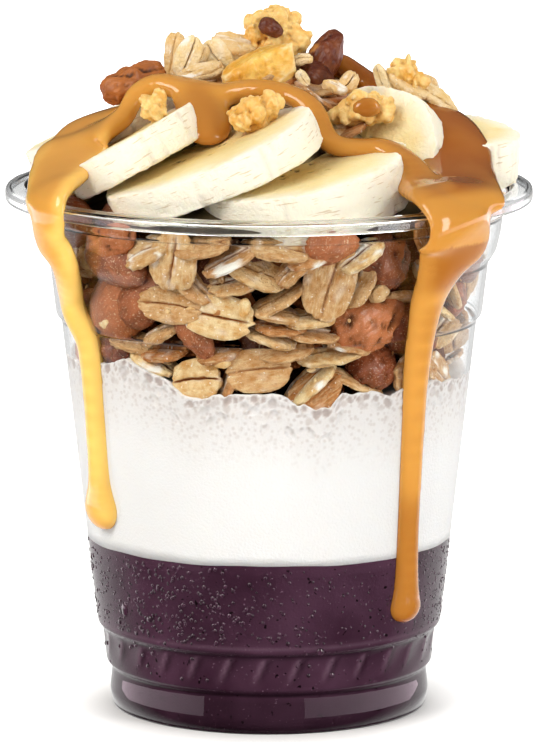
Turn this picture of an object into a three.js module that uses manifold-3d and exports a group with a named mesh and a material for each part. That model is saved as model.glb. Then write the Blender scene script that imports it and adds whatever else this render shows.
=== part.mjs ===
// Acai cup: a clear tumbler layered with acai, cream and granola, heaped with banana slices,
// granola pieces and poured caramel. Millimetres, +Z up, origin at the centre of the cup's foot.
import * as THREE from "three";
import { mergeVertices } from "three/addons/utils/BufferGeometryUtils.js";
import Module from "manifold-3d";

const wasm = await Module();
wasm.setup();

// Driving dimensions of the cup
const RIM_RADIUS = 49;
const CUP_HEIGHT = 98;
const LIP_DEPTH = 2.5;
const LIP_ROUND = 0.6;
const WALL = 0.75;
const FOOT_INSIDE_RADIUS = 26;
const FLOOR_RADIUS = 24.4;
const FLOOR_LIFT = 1.6;
const CUP_SEGMENTS = 32;
const FLUTE_COUNT = CUP_SEGMENTS / 2;
const FLUTE_DEPTH = 0.45;
const FLUTE_TWIST = (2 * Math.PI) / CUP_SEGMENTS;
const BAND_LOW = 8.8;
const BAND_HIGH = 15;
const FLUTE_RUN_OUT = 1.2;

// Outside of the wall from the foot to the neck: radius, height
const WALL_OUTLINE = [
  [29.3, 0], [29.9, 2.7], [29.6, 5.6],
  [29.5, 6.6], [30.45, BAND_LOW], [31.3, BAND_HIGH],
  [32.1, 16.5], [38.7, 72.9],
  [39.7, 74.4], [40.8, 83.5],
  [42.4, 86.4], [43.1, 89.5],
  [43.5, 92.7], [44.5, 93.6], [44.8, CUP_HEIGHT - LIP_DEPTH],
];

// Driving dimensions of the layers and the heap
const GAP = 0.3;
const LAYER_SEGMENTS = 32;
const FACET_SLACK = 0.2;
const LAYER_INSET = WALL + GAP + FACET_SLACK;
const ACAI_TOP = 32.3;
const CREAM_TOP = 66;
const CREAM_SLOPE = 3;
const CREAM_WAVE = 0.6;
const CREAM_WAVES = 3;
const CREAM_INNER_RING = 0.6;
const HEAP_CENTRE_Y = 8;
const HEAP_OUTLINE = [
  [40, 94.5], [27, 99.5], [20, 107], [12, 114.5], [0, 117.6],
];

// Granola pieces: half sizes, and how they lie behind the wall
const OAT = [5, 3.8, 1.1];
const NUT = [7.4, 5.2, 4.4];
const PIECE_SIDES = 6;
const OAT_OUTLINE = [[0, -2], [1, 0.7], [0, 1]];
const NUT_OUTLINE = [[0, -1], [0.85, -0.5], [0.85, 0.5], [0, 1]];
const PIECE_SPREAD = 0.18;
const CORE_INSET = 2.9;
const CORE_LIFT = 2 * GAP;
const PIECE_LIFT = 3 * GAP;
const PIECE_TEST_SHARES = [0.5, 0.75, 1];
const CORE_LEVELS = [72, 83.5, 92];
const ROW_LOW = 68.5;
const ROW_HIGH = 92.5;
const ROW_STEP = 5.8;
const ROW_JITTER = 0.35;
const PIECE_SPACING = 17.6;
const NUT_SHARE = 0.2;
const FACE_ON_SHARE = 0.6;
const FACE_ON_TILT = 0.2;
const EDGE_ON_TILT = 1.5;
const PIECE_SEED = 20261;
const HEAP_TOP_OATS = 6;
const HEAP_TURNS = 2.6;
const HEAP_OATS_FROM = 6;
const HEAP_OATS_TO = 19;

// Banana slices: centre, direction its upper face looks, half length, half width, thickness
const SLICES = {
  banana_left: [[-24.6, -11.5, 105.6], [-0.48, 0.076, 0.875], 13.2, 14.5, 6.4],
  banana_front_left: [[-9.7, -19.8, 104.0], [-0.382, -0.069, 0.921], 20.2, 16, 6.5],
  banana_front_right: [[5.8, -21.6, 99.8], [-0.168, -0.108, 0.98], 18.6, 16.8, 7.5],
  banana_right: [[17.9, -3.6, 101.6], [-0.45, -0.74, 0.51], 15.5, 15.5, 6.5],
  banana_rim_right: [[31.6, 3, 103.3], [0.05, -0.12, 0.99], 14.2, 13, 9.2],
  banana_rim_left: [[-30, 9, 106.2], [-0.42, 0.05, 0.905], 15.5, 14, 7],
  banana_back_left: [[-12.5, 22.5, 103.5], [-0.22, 0.28, 0.93], 15.5, 14.5, 7],
  banana_back_right: [[14.5, 23.5, 102.8], [0.2, 0.3, 0.93], 15.5, 15, 7],
};
const SLICE_SEGMENTS = 15;
const SLICE_BEVEL = 0.7;
const SLICE_LOBES = 3;
const SLICE_LOBE_DEPTH = 0.025;

// Granola pieces on top: kind, centre, half sizes, turn about Y and about Z in degrees, colour
const TOPPINGS = {
  crown_cluster: ["cluster", [1.5, 7, 126], [6, 5.4, 5], 20, 30, 0xd9a54e],
  crown_almond: ["nut", [10.4, 6, 121], [5.2, 3.4, 3.2], -62, 10, 0x6f3120],
  dark_nut: ["nut", [8.6, 2.8, 117.2], [3.8, 3, 3], 25, 40, 0x4d251b],
  golden_chip: ["chip", [-1.9, -2, 120.6], [7.6, 4.6, 2.7], -22, 8, 0xe0b04f],
  oat_cluster: ["cluster", [-7.4, 5, 121.8], [4.3, 4, 3], 0, 70, 0xd8b473],
  standing_oats: ["cluster", [-15.6, 1.5, 121.8], [2.4, 2.2, 3.9], 18, 0, 0xe2bd74],
  left_pecan: ["nut", [-25, 2.2, 116.6], [6.3, 3.7, 3.3], -18, 8, 0xa4552c],
  left_cluster: ["cluster", [-20.9, -15, 114.6], [3.8, 3.2, 3.3], 10, 50, 0xe0b04f],
  middle_cluster: ["cluster", [-2.8, -17.2, 114.1], [5.4, 4, 3.9], -15, 20, 0xdba94d],
  right_cluster: ["cluster", [17.1, -6.2, 113.1], [6.6, 4, 4.2], -12, 15, 0xd9a549],
  oat_pecan_cluster: ["cluster", [26.7, 6.5, 115.6], [7.2, 4.8, 4.2], 15, 5, 0xc9985a],
  back_cluster: ["cluster", [-5.5, 21.8, 112.8], [5.6, 4.6, 4.2], 10, 60, 0xd8a650],
  back_almond: ["nut", [7, 20.5, 114], [5.6, 3.6, 3.2], 12, 120, 0x7c3d22],
  back_chip: ["chip", [16.5, 15, 114], [5.4, 4.2, 2.6], 28, 70, 0xdcae55],
};
const CLUSTER_ROUGHNESS = 0.16;
const CHIP_SQUARENESS = 0.45;
const NUT_TAPER = 0.32;

// Caramel streams from the top of the heap to the rim: x, y, z, half width, half thickness, and
// lean, the share by which the stream's outer side faces away from the cup's axis instead of up
const STREAM_LEFT = [
  [-4, -8.4, 116.4, 2.8, 1.9, 0],
  [-9.5, -6.6, 116.6, 3.6, 2.2, 0],
  [-15.5, -5, 118, 5, 2.3, 0],
  [-21, -4.5, 118.2, 4.4, 2.5, 0],
  [-26, -7, 113.2, 5.4, 2.6, 0],
  [-31, -9, 109.6, 7.2, 2.6, 0],
  [-36.2, -13, 105.6, 8, 2.5, 0.1],
  [-39.4, -20, 102.3, 7.2, 2.4, 0.3],
  [-40.8, -25.8, 99.6, 6.2, 2.2, 0.6],
  [-40.8, -28, 96.3, 5.6, 1.8, 1],
];
const STREAM_TONGUE = [
  [-13.4, -4, 118, 4.8, 2.2, 0],
  [-12.8, -9, 115.4, 4.8, 2.2, 0],
  [-12, -14.5, 111.2, 4.2, 2.2, 0],
  [-11.4, -18.8, 108.6, 3.6, 1.8, 0],
];
const STREAM_RIGHT = [
  [-9.5, -6.6, 116.6, 3.4, 2.2, 0],
  [-2.5, -8.6, 117, 2.9, 2, 0],
  [3.6, -10, 116.2, 2.7, 1.9, 0],
  [7.4, -12.5, 114, 2.7, 2, 0],
  [9.6, -15, 110, 2.9, 2, 0],
  [12, -15.6, 107.4, 3.2, 2, 0],
  [16.5, -14.8, 106.8, 3.4, 1.8, 0],
  [21, -15.4, 106.8, 3.2, 1.8, 0],
  [25, -19.5, 104.6, 3.4, 2, 0],
  [27.6, -26, 101, 4.8, 2.2, 0],
  [31, -33.4, 100, 6.2, 2.2, 0.3],
  [34, -36.4, 96.6, 7, 2, 1],
];
const STREAM_POOL = [
  [11.5, 12, 120.4, 2.6, 1.9, 0],
  [17, 10.5, 116, 3.2, 2, 0],
  [22, 8, 112.4, 4.2, 2.2, 0],
  [28.6, 4.5, 109.8, 6.2, 2.4, 0],
  [32.6, -3.5, 106.6, 7, 2.8, 0],
  [33.8, -12.5, 102.6, 7.2, 3, 0],
  [35, -22, 100.2, 7.4, 2.8, 0],
  [36.4, -30.4, 99.8, 7.2, 2.3, 0.4],
  [37.3, -33.6, 96.6, 6.2, 2, 1],
];
const STREAM_BACK = [
  [11.5, 12.5, 119.6, 2.8, 2, 0],
  [3, 14.5, 118.2, 3, 2, 0],
  [-7, 13.5, 117.4, 3.6, 2.2, 0],
  [-16, 16.5, 112.6, 4.4, 2.4, 0],
  [-25, 25.5, 104.4, 5.4, 2.4, 0.1],
  [-31, 33.4, 99.8, 5, 2.2, 0.5],
  [-33.2, 37, 96.3, 4.6, 2, 1],
];
const STREAM_BACK_RIGHT = [
  [11.5, 12.5, 119.6, 2.8, 2, 0],
  [14, 18, 113.4, 4, 2.2, 0],
  [17, 25, 107.6, 4.6, 2.2, 0],
  [20, 32, 103.4, 3.8, 1.9, 0],
];

// Caramel drips on the wall: degrees round the axis from +X, height, half width, half thickness.
// A drip starts at the lip, leaves it in a curtain and clings to the wall below.
const DRIP_LEFT = [
  [213.6, 92, 4.6, 2], [212.8, 87, 3.6, 2.3], [212.4, 80, 3, 2.3], [212, 70, 2.9, 2.2],
  [211, 58, 2.7, 2.1], [209.6, 47, 2.9, 2.3], [208.8, 42, 4, 3], [208.6, 38.6, 3, 2.4],
];
const DRIP_RIGHT = [
  [314.4, 92, 7, 2.1], [314.2, 87, 4.6, 2.4], [313.8, 80, 3.2, 2.4], [314.4, 68, 2.9, 2.3],
  [315.6, 52, 2.7, 2.2], [317.2, 36, 2.7, 2.2], [318.4, 26, 3, 2.5], [318.9, 22.4, 3.7, 3],
  [319, 19.8, 2.8, 2.3],
];
const DRIP_BACK = [
  [132, 92, 4.4, 2.1], [132, 87, 3.4, 2.3], [131.6, 80, 2.9, 2.2], [131.2, 72, 2.8, 2.2],
  [131, 66.5, 3.6, 2.9], [131, 63.6, 2.8, 2.2],
];
const CURTAIN_TOP = 92;
const CURTAIN_FOOT = 84;
const CURTAIN_STAND_OFF = 4.6;
const STREAM_SIDES = 7;
const STREAM_END = 0.7;
const STREAM_STEPS_PER_STATION = 1.15;

// Colour and roughness of each finish; the granola pieces on top bring their own colours
const FINISHES = {
  cup: [0xe8eef0, 0.08],
  acai: [0x4a2c3f, 0.45],
  cream: [0xf6f3ee, 0.5],
  banana: [0xf3e6bd, 0.5],
  caramel: [0xc98a3a, 0.15],
  granola: [0xb98a52, 0.7],
};
const TOPPING_ROUGHNESS = 0.55;

const MERGE_DISTANCE = 1e-4;
const SAME_LEVEL = 1e-3;
const UP = new THREE.Vector3(0, 0, 1);

// Repeatable random numbers between 0 and 1
function seeded(seed) {
  let state = seed;
  return () => {
    state = (state + 0x6d2b79f5) | 0;
    let mixed = Math.imul(state ^ (state >>> 15), 1 | state);
    mixed = (mixed + Math.imul(mixed ^ (mixed >>> 7), 61 | mixed)) ^ mixed;
    return ((mixed ^ (mixed >>> 14)) >>> 0) / 4294967296;
  };
}

function signedVolume(positions, triangles) {
  const a = new THREE.Vector3();
  const b = new THREE.Vector3();
  const c = new THREE.Vector3();
  let sum = 0;
  for (let i = 0; i < triangles.length; i += 3) {
    a.fromArray(positions, triangles[i] * 3);
    b.fromArray(positions, triangles[i + 1] * 3);
    c.fromArray(positions, triangles[i + 2] * 3);
    sum += a.dot(b.cross(c)) / 6;
  }
  return sum;
}

// Closed, merged copy of a geometry: no collapsed triangles, faces pointing out
function closed(geometry) {
  const bare = geometry.index ? geometry.clone() : geometry;
  bare.deleteAttribute("normal");
  bare.deleteAttribute("uv");
  const merged = mergeVertices(bare, MERGE_DISTANCE);
  const source = merged.index.array;
  const triangles = [];
  for (let i = 0; i < source.length; i += 3) {
    const [a, b, c] = [source[i], source[i + 1], source[i + 2]];
    if (a !== b && b !== c && c !== a) triangles.push(a, b, c);
  }
  if (signedVolume(merged.attributes.position.array, triangles) < 0) triangles.reverse();
  merged.setIndex(triangles);
  merged.computeVertexNormals();
  return merged;
}

function solidOf(geometry) {
  const whole = closed(geometry);
  const mesh = new wasm.Mesh({
    numProp: 3,
    vertProperties: Float32Array.from(whole.attributes.position.array),
    triVerts: Uint32Array.from(whole.index.array),
  });
  return new wasm.Manifold(mesh);
}

// The same form with every vertex moved out along its normal
function grown(geometry, distance = GAP) {
  const whole = closed(geometry);
  const place = whole.attributes.position;
  const normal = whole.attributes.normal;
  for (let i = 0; i < place.count; i += 1) {
    const x = place.getX(i) + normal.getX(i) * distance;
    const y = place.getY(i) + normal.getY(i) * distance;
    place.setXYZ(i, x, y, place.getZ(i) + normal.getZ(i) * distance);
  }
  return whole;
}

// Geometry of the largest connected body of a solid, so that scraps from a cut are dropped
function largestBody(solid) {
  const mesh = solid.getMesh();
  const parent = Array.from({ length: mesh.vertProperties.length / mesh.numProp }, (_, i) => i);
  const root = (i) => {
    while (parent[i] !== i) {
      parent[i] = parent[parent[i]];
      i = parent[i];
    }
    return i;
  };
  for (let i = 0; i < mesh.triVerts.length; i += 3) {
    parent[root(mesh.triVerts[i])] = root(mesh.triVerts[i + 1]);
    parent[root(mesh.triVerts[i + 1])] = root(mesh.triVerts[i + 2]);
  }
  const bodies = new Map();
  for (let i = 0; i < mesh.triVerts.length; i += 3) {
    const key = root(mesh.triVerts[i]);
    if (!bodies.has(key)) bodies.set(key, []);
    bodies.get(key).push(mesh.triVerts[i], mesh.triVerts[i + 1], mesh.triVerts[i + 2]);
  }
  const volume = (triangles) => Math.abs(signedVolume(mesh.vertProperties, triangles));
  const triangles = [...bodies.values()].sort((a, b) => volume(b) - volume(a))[0];
  const geometry = new THREE.BufferGeometry();
  geometry.setAttribute("position", new THREE.BufferAttribute(Float32Array.from(mesh.vertProperties), 3));
  geometry.setIndex(triangles);
  return closed(geometry);
}

function cut(solid, others) {
  return largestBody(others.reduce((rest, other) => rest.subtract(solidOf(other)), solid));
}

// Solid of revolution about Z from an outline of [radius, height]
function turned(outline, segments) {
  const points = outline.map(([radius, height]) => new THREE.Vector2(radius, height));
  return new THREE.LatheGeometry(points, segments).rotateX(Math.PI / 2);
}

function wallRadius(height) {
  for (let i = 1; i < WALL_OUTLINE.length; i += 1) {
    const [r0, z0] = WALL_OUTLINE[i - 1];
    const [r1, z1] = WALL_OUTLINE[i];
    if (height <= z1) return r0 + ((r1 - r0) * (height - z0)) / (z1 - z0);
  }
  return WALL_OUTLINE.at(-1)[0];
}

function lipOutline(out = 0) {
  const low = CUP_HEIGHT - LIP_DEPTH;
  return [
    [RIM_RADIUS - LIP_ROUND, low - out],
    [RIM_RADIUS + out, low + LIP_ROUND],
    [RIM_RADIUS + out, CUP_HEIGHT - LIP_ROUND],
    [RIM_RADIUS - LIP_ROUND, CUP_HEIGHT + out],
  ];
}

// Thin-walled tumbler with a flat lip, stacking bands, a band of slanted flutes and a ring foot
function cup() {
  const inside = WALL_OUTLINE.map(([radius, height]) => [radius - WALL, Math.max(height, WALL)]).reverse();
  const fluteEnds = [BAND_LOW + FLUTE_RUN_OUT, BAND_HIGH - FLUTE_RUN_OUT];
  const outside = [...WALL_OUTLINE, ...fluteEnds.map((height) => [wallRadius(height), height])];
  const underside = [[0, FLOOR_LIFT], [FLOOR_RADIUS, FLOOR_LIFT], [FOOT_INSIDE_RADIUS, 0]];
  const lipFrom = underside.length + outside.length;
  const outline = [
    ...underside,
    ...outside.sort((a, b) => a[1] - b[1]),
    ...lipOutline(),
    [WALL_OUTLINE.at(-1)[0], CUP_HEIGHT],
    ...inside,
    [FOOT_INSIDE_RADIUS + WALL, WALL], [FLOOR_RADIUS + WALL, FLOOR_LIFT + WALL], [0, FLOOR_LIFT + WALL],
  ];
  const body = turned(outline, CUP_SEGMENTS);
  const place = body.attributes.position;
  for (let i = 0; i < place.count; i += 1) {
    const [x, y, z] = [place.getX(i), place.getY(i), place.getZ(i)];
    const [radius, angle] = [Math.hypot(x, y), Math.atan2(y, x)];
    const rise = THREE.MathUtils.clamp((z - BAND_LOW) / (BAND_HIGH - BAND_LOW), 0, 1);
    const isOutside = i % outline.length < lipFrom;
    const isValley = Math.cos(angle * FLUTE_COUNT) < 0;
    const depth = isOutside && isValley && rise > 0 && rise < 1 ? FLUTE_DEPTH : 0;
    const turn = angle + FLUTE_TWIST * (isOutside ? rise : 1);
    place.setXY(i, (radius - depth) * Math.cos(turn), (radius - depth) * Math.sin(turn));
  }
  return body;
}

// The cup grown by the gap, and filled below the granola, for cutting what rests on its wall
function grownCup() {
  const wall = WALL_OUTLINE.map(([radius, height]) => [radius + GAP, height]);
  wall[wall.length - 1][1] -= GAP;
  const lining = WALL_OUTLINE.filter(([, height]) => height > CREAM_TOP).reverse();
  const inside = lining.map(([radius, height]) => [radius - WALL - GAP, height]);
  const outline = [
    [0, 0], ...wall, ...lipOutline(GAP),
    [inside[0][0], CUP_HEIGHT + GAP], ...inside, [inside.at(-1)[0], CREAM_TOP], [0, CREAM_TOP],
  ];
  return turned(outline, CUP_SEGMENTS);
}

function insideOutline(low, high) {
  const between = WALL_OUTLINE.filter(([, height]) => height > low && height < high);
  const ends = [[wallRadius(low), low], ...between, [wallRadius(high), high]];
  return ends.map(([radius, height]) => [radius - LAYER_INSET, height]);
}

function acai() {
  const foot = WALL + GAP;
  const floor = FLOOR_LIFT + WALL + GAP;
  const outline = [
    [0, floor], [FLOOR_RADIUS + WALL + GAP, floor], [FOOT_INSIDE_RADIUS + WALL + GAP, foot],
    ...insideOutline(foot, ACAI_TOP),
    [0, ACAI_TOP],
  ];
  return turned(outline, LAYER_SEGMENTS);
}

// Height of the cream's uneven top round the cup, higher on the left
function creamTop(x, y) {
  const angle = Math.atan2(y, x);
  const reach = Math.min(Math.hypot(x, y) / wallRadius(CREAM_TOP), 1);
  return CREAM_TOP - reach * (CREAM_SLOPE * Math.cos(angle) + CREAM_WAVE * Math.sin(CREAM_WAVES * angle));
}

// Moves the ring of vertices at CREAM_TOP onto the uneven boundary, raised by lift
function waveBoundary(geometry, lift) {
  const place = geometry.attributes.position;
  for (let i = 0; i < place.count; i += 1) {
    const [x, y, z] = [place.getX(i), place.getY(i), place.getZ(i)];
    if (Math.abs(z - CREAM_TOP) > SAME_LEVEL) continue;
    const top = creamTop(x, y);
    const scale = x || y ? (wallRadius(top) - LAYER_INSET) / (wallRadius(CREAM_TOP) - LAYER_INSET) : 1;
    place.setXYZ(i, x * scale, y * scale, top + lift);
  }
  return geometry;
}

function cream() {
  const bottom = ACAI_TOP + GAP;
  const rim = wallRadius(CREAM_TOP) - LAYER_INSET;
  const outline = [
    [0, bottom], ...insideOutline(bottom, CREAM_TOP), [rim * CREAM_INNER_RING, CREAM_TOP], [0, CREAM_TOP],
  ];
  return waveBoundary(turned(outline, LAYER_SEGMENTS), 0);
}

// Smaller core of the granola, from the cream to the top of the heap
function granolaCore() {
  const rim = wallRadius(CREAM_TOP) - LAYER_INSET;
  const outline = [
    [0, CREAM_TOP], [rim * CREAM_INNER_RING, CREAM_TOP], [rim, CREAM_TOP],
    ...CORE_LEVELS.map((height) => [wallRadius(height) - CORE_INSET, height]),
    ...HEAP_OUTLINE,
  ];
  const core = waveBoundary(turned(outline, LAYER_SEGMENTS / 2), CORE_LIFT);
  const place = core.attributes.position;
  const [low, high] = [HEAP_OUTLINE[0][1], HEAP_OUTLINE.at(-1)[1]];
  for (let i = 0; i < place.count; i += 1) {
    const share = THREE.MathUtils.clamp((place.getZ(i) - low) / (high - low), 0, 1);
    place.setY(i, place.getY(i) + HEAP_CENTRE_Y * Math.sqrt(share));
  }
  return core;
}

// A granola piece of few sides: an oat with a flat outer face, or a nut that narrows to one end
function oatOrNut(size, isNut) {
  const piece = turned(isNut ? NUT_OUTLINE : OAT_OUTLINE, PIECE_SIDES);
  const place = piece.attributes.position;
  for (let i = 0; i < place.count; i += 1) {
    const narrow = isNut ? 1 - NUT_TAPER * place.getX(i) : 1;
    const [x, y, z] = [place.getX(i), place.getY(i) * narrow, place.getZ(i) * narrow];
    place.setXYZ(i, x * size[0], y * size[1], z * size[2]);
  }
  return piece;
}

// Moves a piece towards the axis until the wall is clear of it, then up until the cream is
function clearOfCup(piece) {
  const place = piece.attributes.position;
  const corner = (i) => new THREE.Vector3().fromBufferAttribute(place, i);
  const corners = Array.from({ length: place.count }, (_, i) => corner(i));
  const middle = corners.reduce((sum, p) => sum.add(p), new THREE.Vector3()).divideScalar(corners.length);
  const points = corners.flatMap((p) => PIECE_TEST_SHARES.map((share) => middle.clone().lerp(p, share)));
  const over = points.map((p) => Math.hypot(p.x, p.y) - (wallRadius(p.z) - LAYER_INSET));
  const inward = new THREE.Vector3(-middle.x, -middle.y, 0).normalize();
  piece.translate(...inward.multiplyScalar(Math.max(...over)).toArray());
  const under = points.map((p) => creamTop(p.x, p.y) + PIECE_LIFT - p.z);
  return piece.translate(0, 0, Math.max(0, ...under));
}

function posed(geometry, facing, spin, centre) {
  const turn = new THREE.Quaternion().setFromUnitVectors(UP, facing.normalize());
  const twist = new THREE.Quaternion().setFromAxisAngle(UP, spin);
  return geometry.applyMatrix4(
    new THREE.Matrix4().compose(centre, turn.multiply(twist), new THREE.Vector3(1, 1, 1)),
  );
}

// Rows of oats and nuts that press against the wall
function wallPieces(random) {
  const pieces = [];
  for (let height = ROW_LOW; height <= ROW_HIGH; height += ROW_STEP) {
    const radius = wallRadius(height) - WALL;
    const count = Math.round((2 * Math.PI * radius) / PIECE_SPACING);
    for (let i = 0; i < count; i += 1) {
      const angle = ((i + ROW_JITTER * random()) / count) * 2 * Math.PI + height;
      const isNut = random() < NUT_SHARE;
      const scale = 1 + PIECE_SPREAD * (2 * random() - 1);
      const size = (isNut ? NUT : OAT).map((half) => half * scale);
      const tilt = random() < FACE_ON_SHARE ? FACE_ON_TILT : EDGE_ON_TILT;
      const outward = new THREE.Vector3(Math.cos(angle), Math.sin(angle), tilt * (2 * random() - 1));
      const level = height + ROW_STEP * ROW_JITTER * (2 * random() - 1);
      const centre = new THREE.Vector3(radius * Math.cos(angle), radius * Math.sin(angle), level);
      pieces.push(clearOfCup(posed(oatOrNut(size, isNut), outward, random() * Math.PI, centre)));
    }
  }
  return pieces;
}

// Height of the heap's surface, and the oats that lie on it in a spiral
function heapHeight(x, y) {
  const radius = Math.hypot(x, y - HEAP_CENTRE_Y);
  const i = HEAP_OUTLINE.findIndex(([r]) => r <= radius);
  const [[r0, z0], [r1, z1]] = [HEAP_OUTLINE[i - 1], HEAP_OUTLINE[i]];
  return z0 + ((z1 - z0) * (r0 - radius)) / (r0 - r1);
}

function heapPieces(random) {
  return Array.from({ length: HEAP_TOP_OATS }, (_, i) => {
    const share = i / HEAP_TOP_OATS;
    const angle = share * 2 * Math.PI * HEAP_TURNS;
    const radius = HEAP_OATS_FROM + (HEAP_OATS_TO - HEAP_OATS_FROM) * share;
    const [x, y] = [radius * Math.cos(angle), HEAP_CENTRE_Y + radius * Math.sin(angle)];
    const facing = new THREE.Vector3(Math.cos(angle) * share, Math.sin(angle) * share, 1);
    const centre = new THREE.Vector3(x, y, heapHeight(x, y) + OAT[2] / 2);
    const scale = 1 + PIECE_SPREAD * (2 * random() - 1);
    return posed(oatOrNut(OAT.map((half) => half * scale), false), facing, angle, centre);
  });
}

// Bevelled, slightly three-lobed disc of banana, its upper face looking along facing
function slice([centre, facing, halfLength, halfWidth, thickness]) {
  const half = thickness / 2;
  const bevel = SLICE_BEVEL / halfLength;
  const outline = [
    [0, -half], [1 - bevel, -half], [1, SLICE_BEVEL - half],
    [1, half - SLICE_BEVEL], [1 - bevel, half], [0, half],
  ];
  const disc = turned(outline, SLICE_SEGMENTS);
  const place = disc.attributes.position;
  for (let i = 0; i < place.count; i += 1) {
    const angle = Math.atan2(place.getY(i), place.getX(i));
    const lobe = 1 + SLICE_LOBE_DEPTH * Math.cos(SLICE_LOBES * angle + centre[0]);
    place.setXY(i, place.getX(i) * halfLength * lobe, place.getY(i) * halfWidth * lobe);
  }
  const normal = new THREE.Vector3(...facing).normalize();
  const along = new THREE.Vector3(1, 0, 0).addScaledVector(normal, -normal.x).normalize();
  const across = new THREE.Vector3().crossVectors(normal, along);
  const pose = new THREE.Matrix4().makeBasis(along, across, normal).setPosition(...centre);
  return disc.applyMatrix4(pose);
}

// A topping: a rough cluster, a smooth tapering nut or a squarish chip
function topping([kind, centre, size, turnY, turnZ]) {
  const random = seeded(Math.round(centre[0] * 1000 + centre[2]));
  const lump = closed(new THREE.IcosahedronGeometry(1, 1));
  const place = lump.attributes.position;
  const direction = new THREE.Vector3();
  for (let i = 0; i < place.count; i += 1) {
    direction.fromBufferAttribute(place, i);
    if (kind === "cluster") direction.multiplyScalar(1 + CLUSTER_ROUGHNESS * (2 * random() - 1));
    if (kind === "chip") {
      const [x, y, z] = direction.toArray().map((v) => Math.sign(v) * Math.abs(v) ** CHIP_SQUARENESS);
      direction.set(x, y, z);
    }
    const narrow = kind === "nut" ? 1 - NUT_TAPER * direction.x : 1;
    place.setXYZ(i, direction.x * size[0], direction.y * size[1] * narrow, direction.z * size[2] * narrow);
  }
  const turn = new THREE.Euler(0, THREE.MathUtils.degToRad(turnY), THREE.MathUtils.degToRad(turnZ), "ZYX");
  const pose = new THREE.Matrix4().makeRotationFromEuler(turn).setPosition(...centre);
  return lump.applyMatrix4(pose);
}

// Values of a list of stations at an even parameter, on a smooth curve through them
function smoothStation(stations, share) {
  const columns = stations[0].map((_, column) => column);
  const span = share * (stations.length - 1);
  const i = Math.min(Math.floor(span), stations.length - 2);
  const t = span - i;
  const at = (k) => stations[THREE.MathUtils.clamp(k, 0, stations.length - 1)];
  return columns.map((c) => {
    const [p0, p1, p2, p3] = [at(i - 1)[c], at(i)[c], at(i + 1)[c], at(i + 2)[c]];
    const bend = 2 * p0 - 5 * p1 + 4 * p2 - p3 + t * (3 * (p1 - p2) + p3 - p0);
    return p1 + (t / 2) * (p2 - p0 + t * bend);
  });
}

// Closed ribbon of elliptical sections through stations, with rounded ends
function stream(stations, extra = 0) {
  const steps = Math.round((stations.length - 1) * STREAM_STEPS_PER_STATION);
  const rows = Array.from({ length: steps + 1 }, (_, i) => smoothStation(stations, i / steps));
  const middles = rows.map(([x, y, z]) => new THREE.Vector3(x, y, z));
  const positions = [];
  rows.forEach(([x, y, z, halfWidth, halfThickness, lean], i) => {
    const ahead = middles[Math.min(i + 1, steps)].clone().sub(middles[Math.max(i - 1, 0)]).normalize();
    const radial = new THREE.Vector3(x, y, 0).normalize();
    const outer = UP.clone().lerp(radial, THREE.MathUtils.clamp(lean, 0, 1));
    outer.addScaledVector(ahead, -outer.dot(ahead)).normalize();
    const side = new THREE.Vector3().crossVectors(ahead, outer);
    const end = i === 0 || i === steps ? STREAM_END : 1;
    for (let k = 0; k < STREAM_SIDES; k += 1) {
      const angle = (k / STREAM_SIDES) * 2 * Math.PI;
      const point = new THREE.Vector3(x, y, z);
      point.addScaledVector(side, Math.cos(angle) * (halfWidth * end + extra));
      point.addScaledVector(outer, Math.sin(angle) * (halfThickness * end + extra));
      positions.push(...point.toArray());
    }
  });
  const tips = [[0, 1], [steps, steps - 1]].map(([i, j]) => {
    const away = middles[i].clone().sub(middles[j]).normalize();
    return middles[i].clone().addScaledVector(away, rows[i][4] * STREAM_END + extra);
  });
  positions.push(...tips[0].toArray(), ...tips[1].toArray());
  const first = (steps + 1) * STREAM_SIDES;
  const triangles = [];
  for (let k = 0; k < STREAM_SIDES; k += 1) {
    const next = (k + 1) % STREAM_SIDES;
    for (let i = 0; i < steps; i += 1) {
      const [a, b] = [i * STREAM_SIDES + k, i * STREAM_SIDES + next];
      triangles.push(a, b, b + STREAM_SIDES, a, b + STREAM_SIDES, a + STREAM_SIDES);
    }
    const last = steps * STREAM_SIDES;
    triangles.push(first, next, k, first + 1, last + k, last + next);
  }
  const geometry = new THREE.BufferGeometry();
  geometry.setAttribute("position", new THREE.BufferAttribute(Float32Array.from(positions), 3));
  geometry.setIndex(triangles);
  return geometry;
}

// Stations of a drip down the wall, standing off below the lip where the curtain hangs
function dripStations(drip) {
  return drip.map(([degrees, height, halfWidth, halfThickness]) => {
    const hang = THREE.MathUtils.clamp((height - CURTAIN_FOOT) / (CURTAIN_TOP - CURTAIN_FOOT), 0, 1);
    const radius = wallRadius(height) + hang * CURTAIN_STAND_OFF;
    const angle = THREE.MathUtils.degToRad(degrees);
    return [radius * Math.cos(angle), radius * Math.sin(angle), height, halfWidth, halfThickness, 1];
  });
}

function caramelStreams(extra) {
  const routes = [
    [...STREAM_LEFT, ...dripStations(DRIP_LEFT)],
    STREAM_TONGUE,
    [...STREAM_RIGHT, ...dripStations(DRIP_RIGHT)],
    STREAM_POOL,
    [...STREAM_BACK, ...dripStations(DRIP_BACK)],
    STREAM_BACK_RIGHT,
  ];
  return routes.map((route) => solidOf(stream(route, extra))).reduce((all, one) => all.add(one));
}

function addPiece(group, name, geometry, [colour, roughness]) {
  const material = new THREE.MeshStandardMaterial({ color: colour, roughness, metalness: 0 });
  const mesh = new THREE.Mesh(geometry, material);
  mesh.name = name;
  group.add(mesh);
}

const cupGroup = new THREE.Group();
const layers = new THREE.Group();
const fruit = new THREE.Group();
const crunch = new THREE.Group();
cupGroup.add(layers, fruit, crunch);

addPiece(cupGroup, "cup", closed(cup()), FINISHES.cup);
addPiece(layers, "acai", closed(acai()), FINISHES.acai);
addPiece(layers, "cream", closed(cream()), FINISHES.cream);

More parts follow.
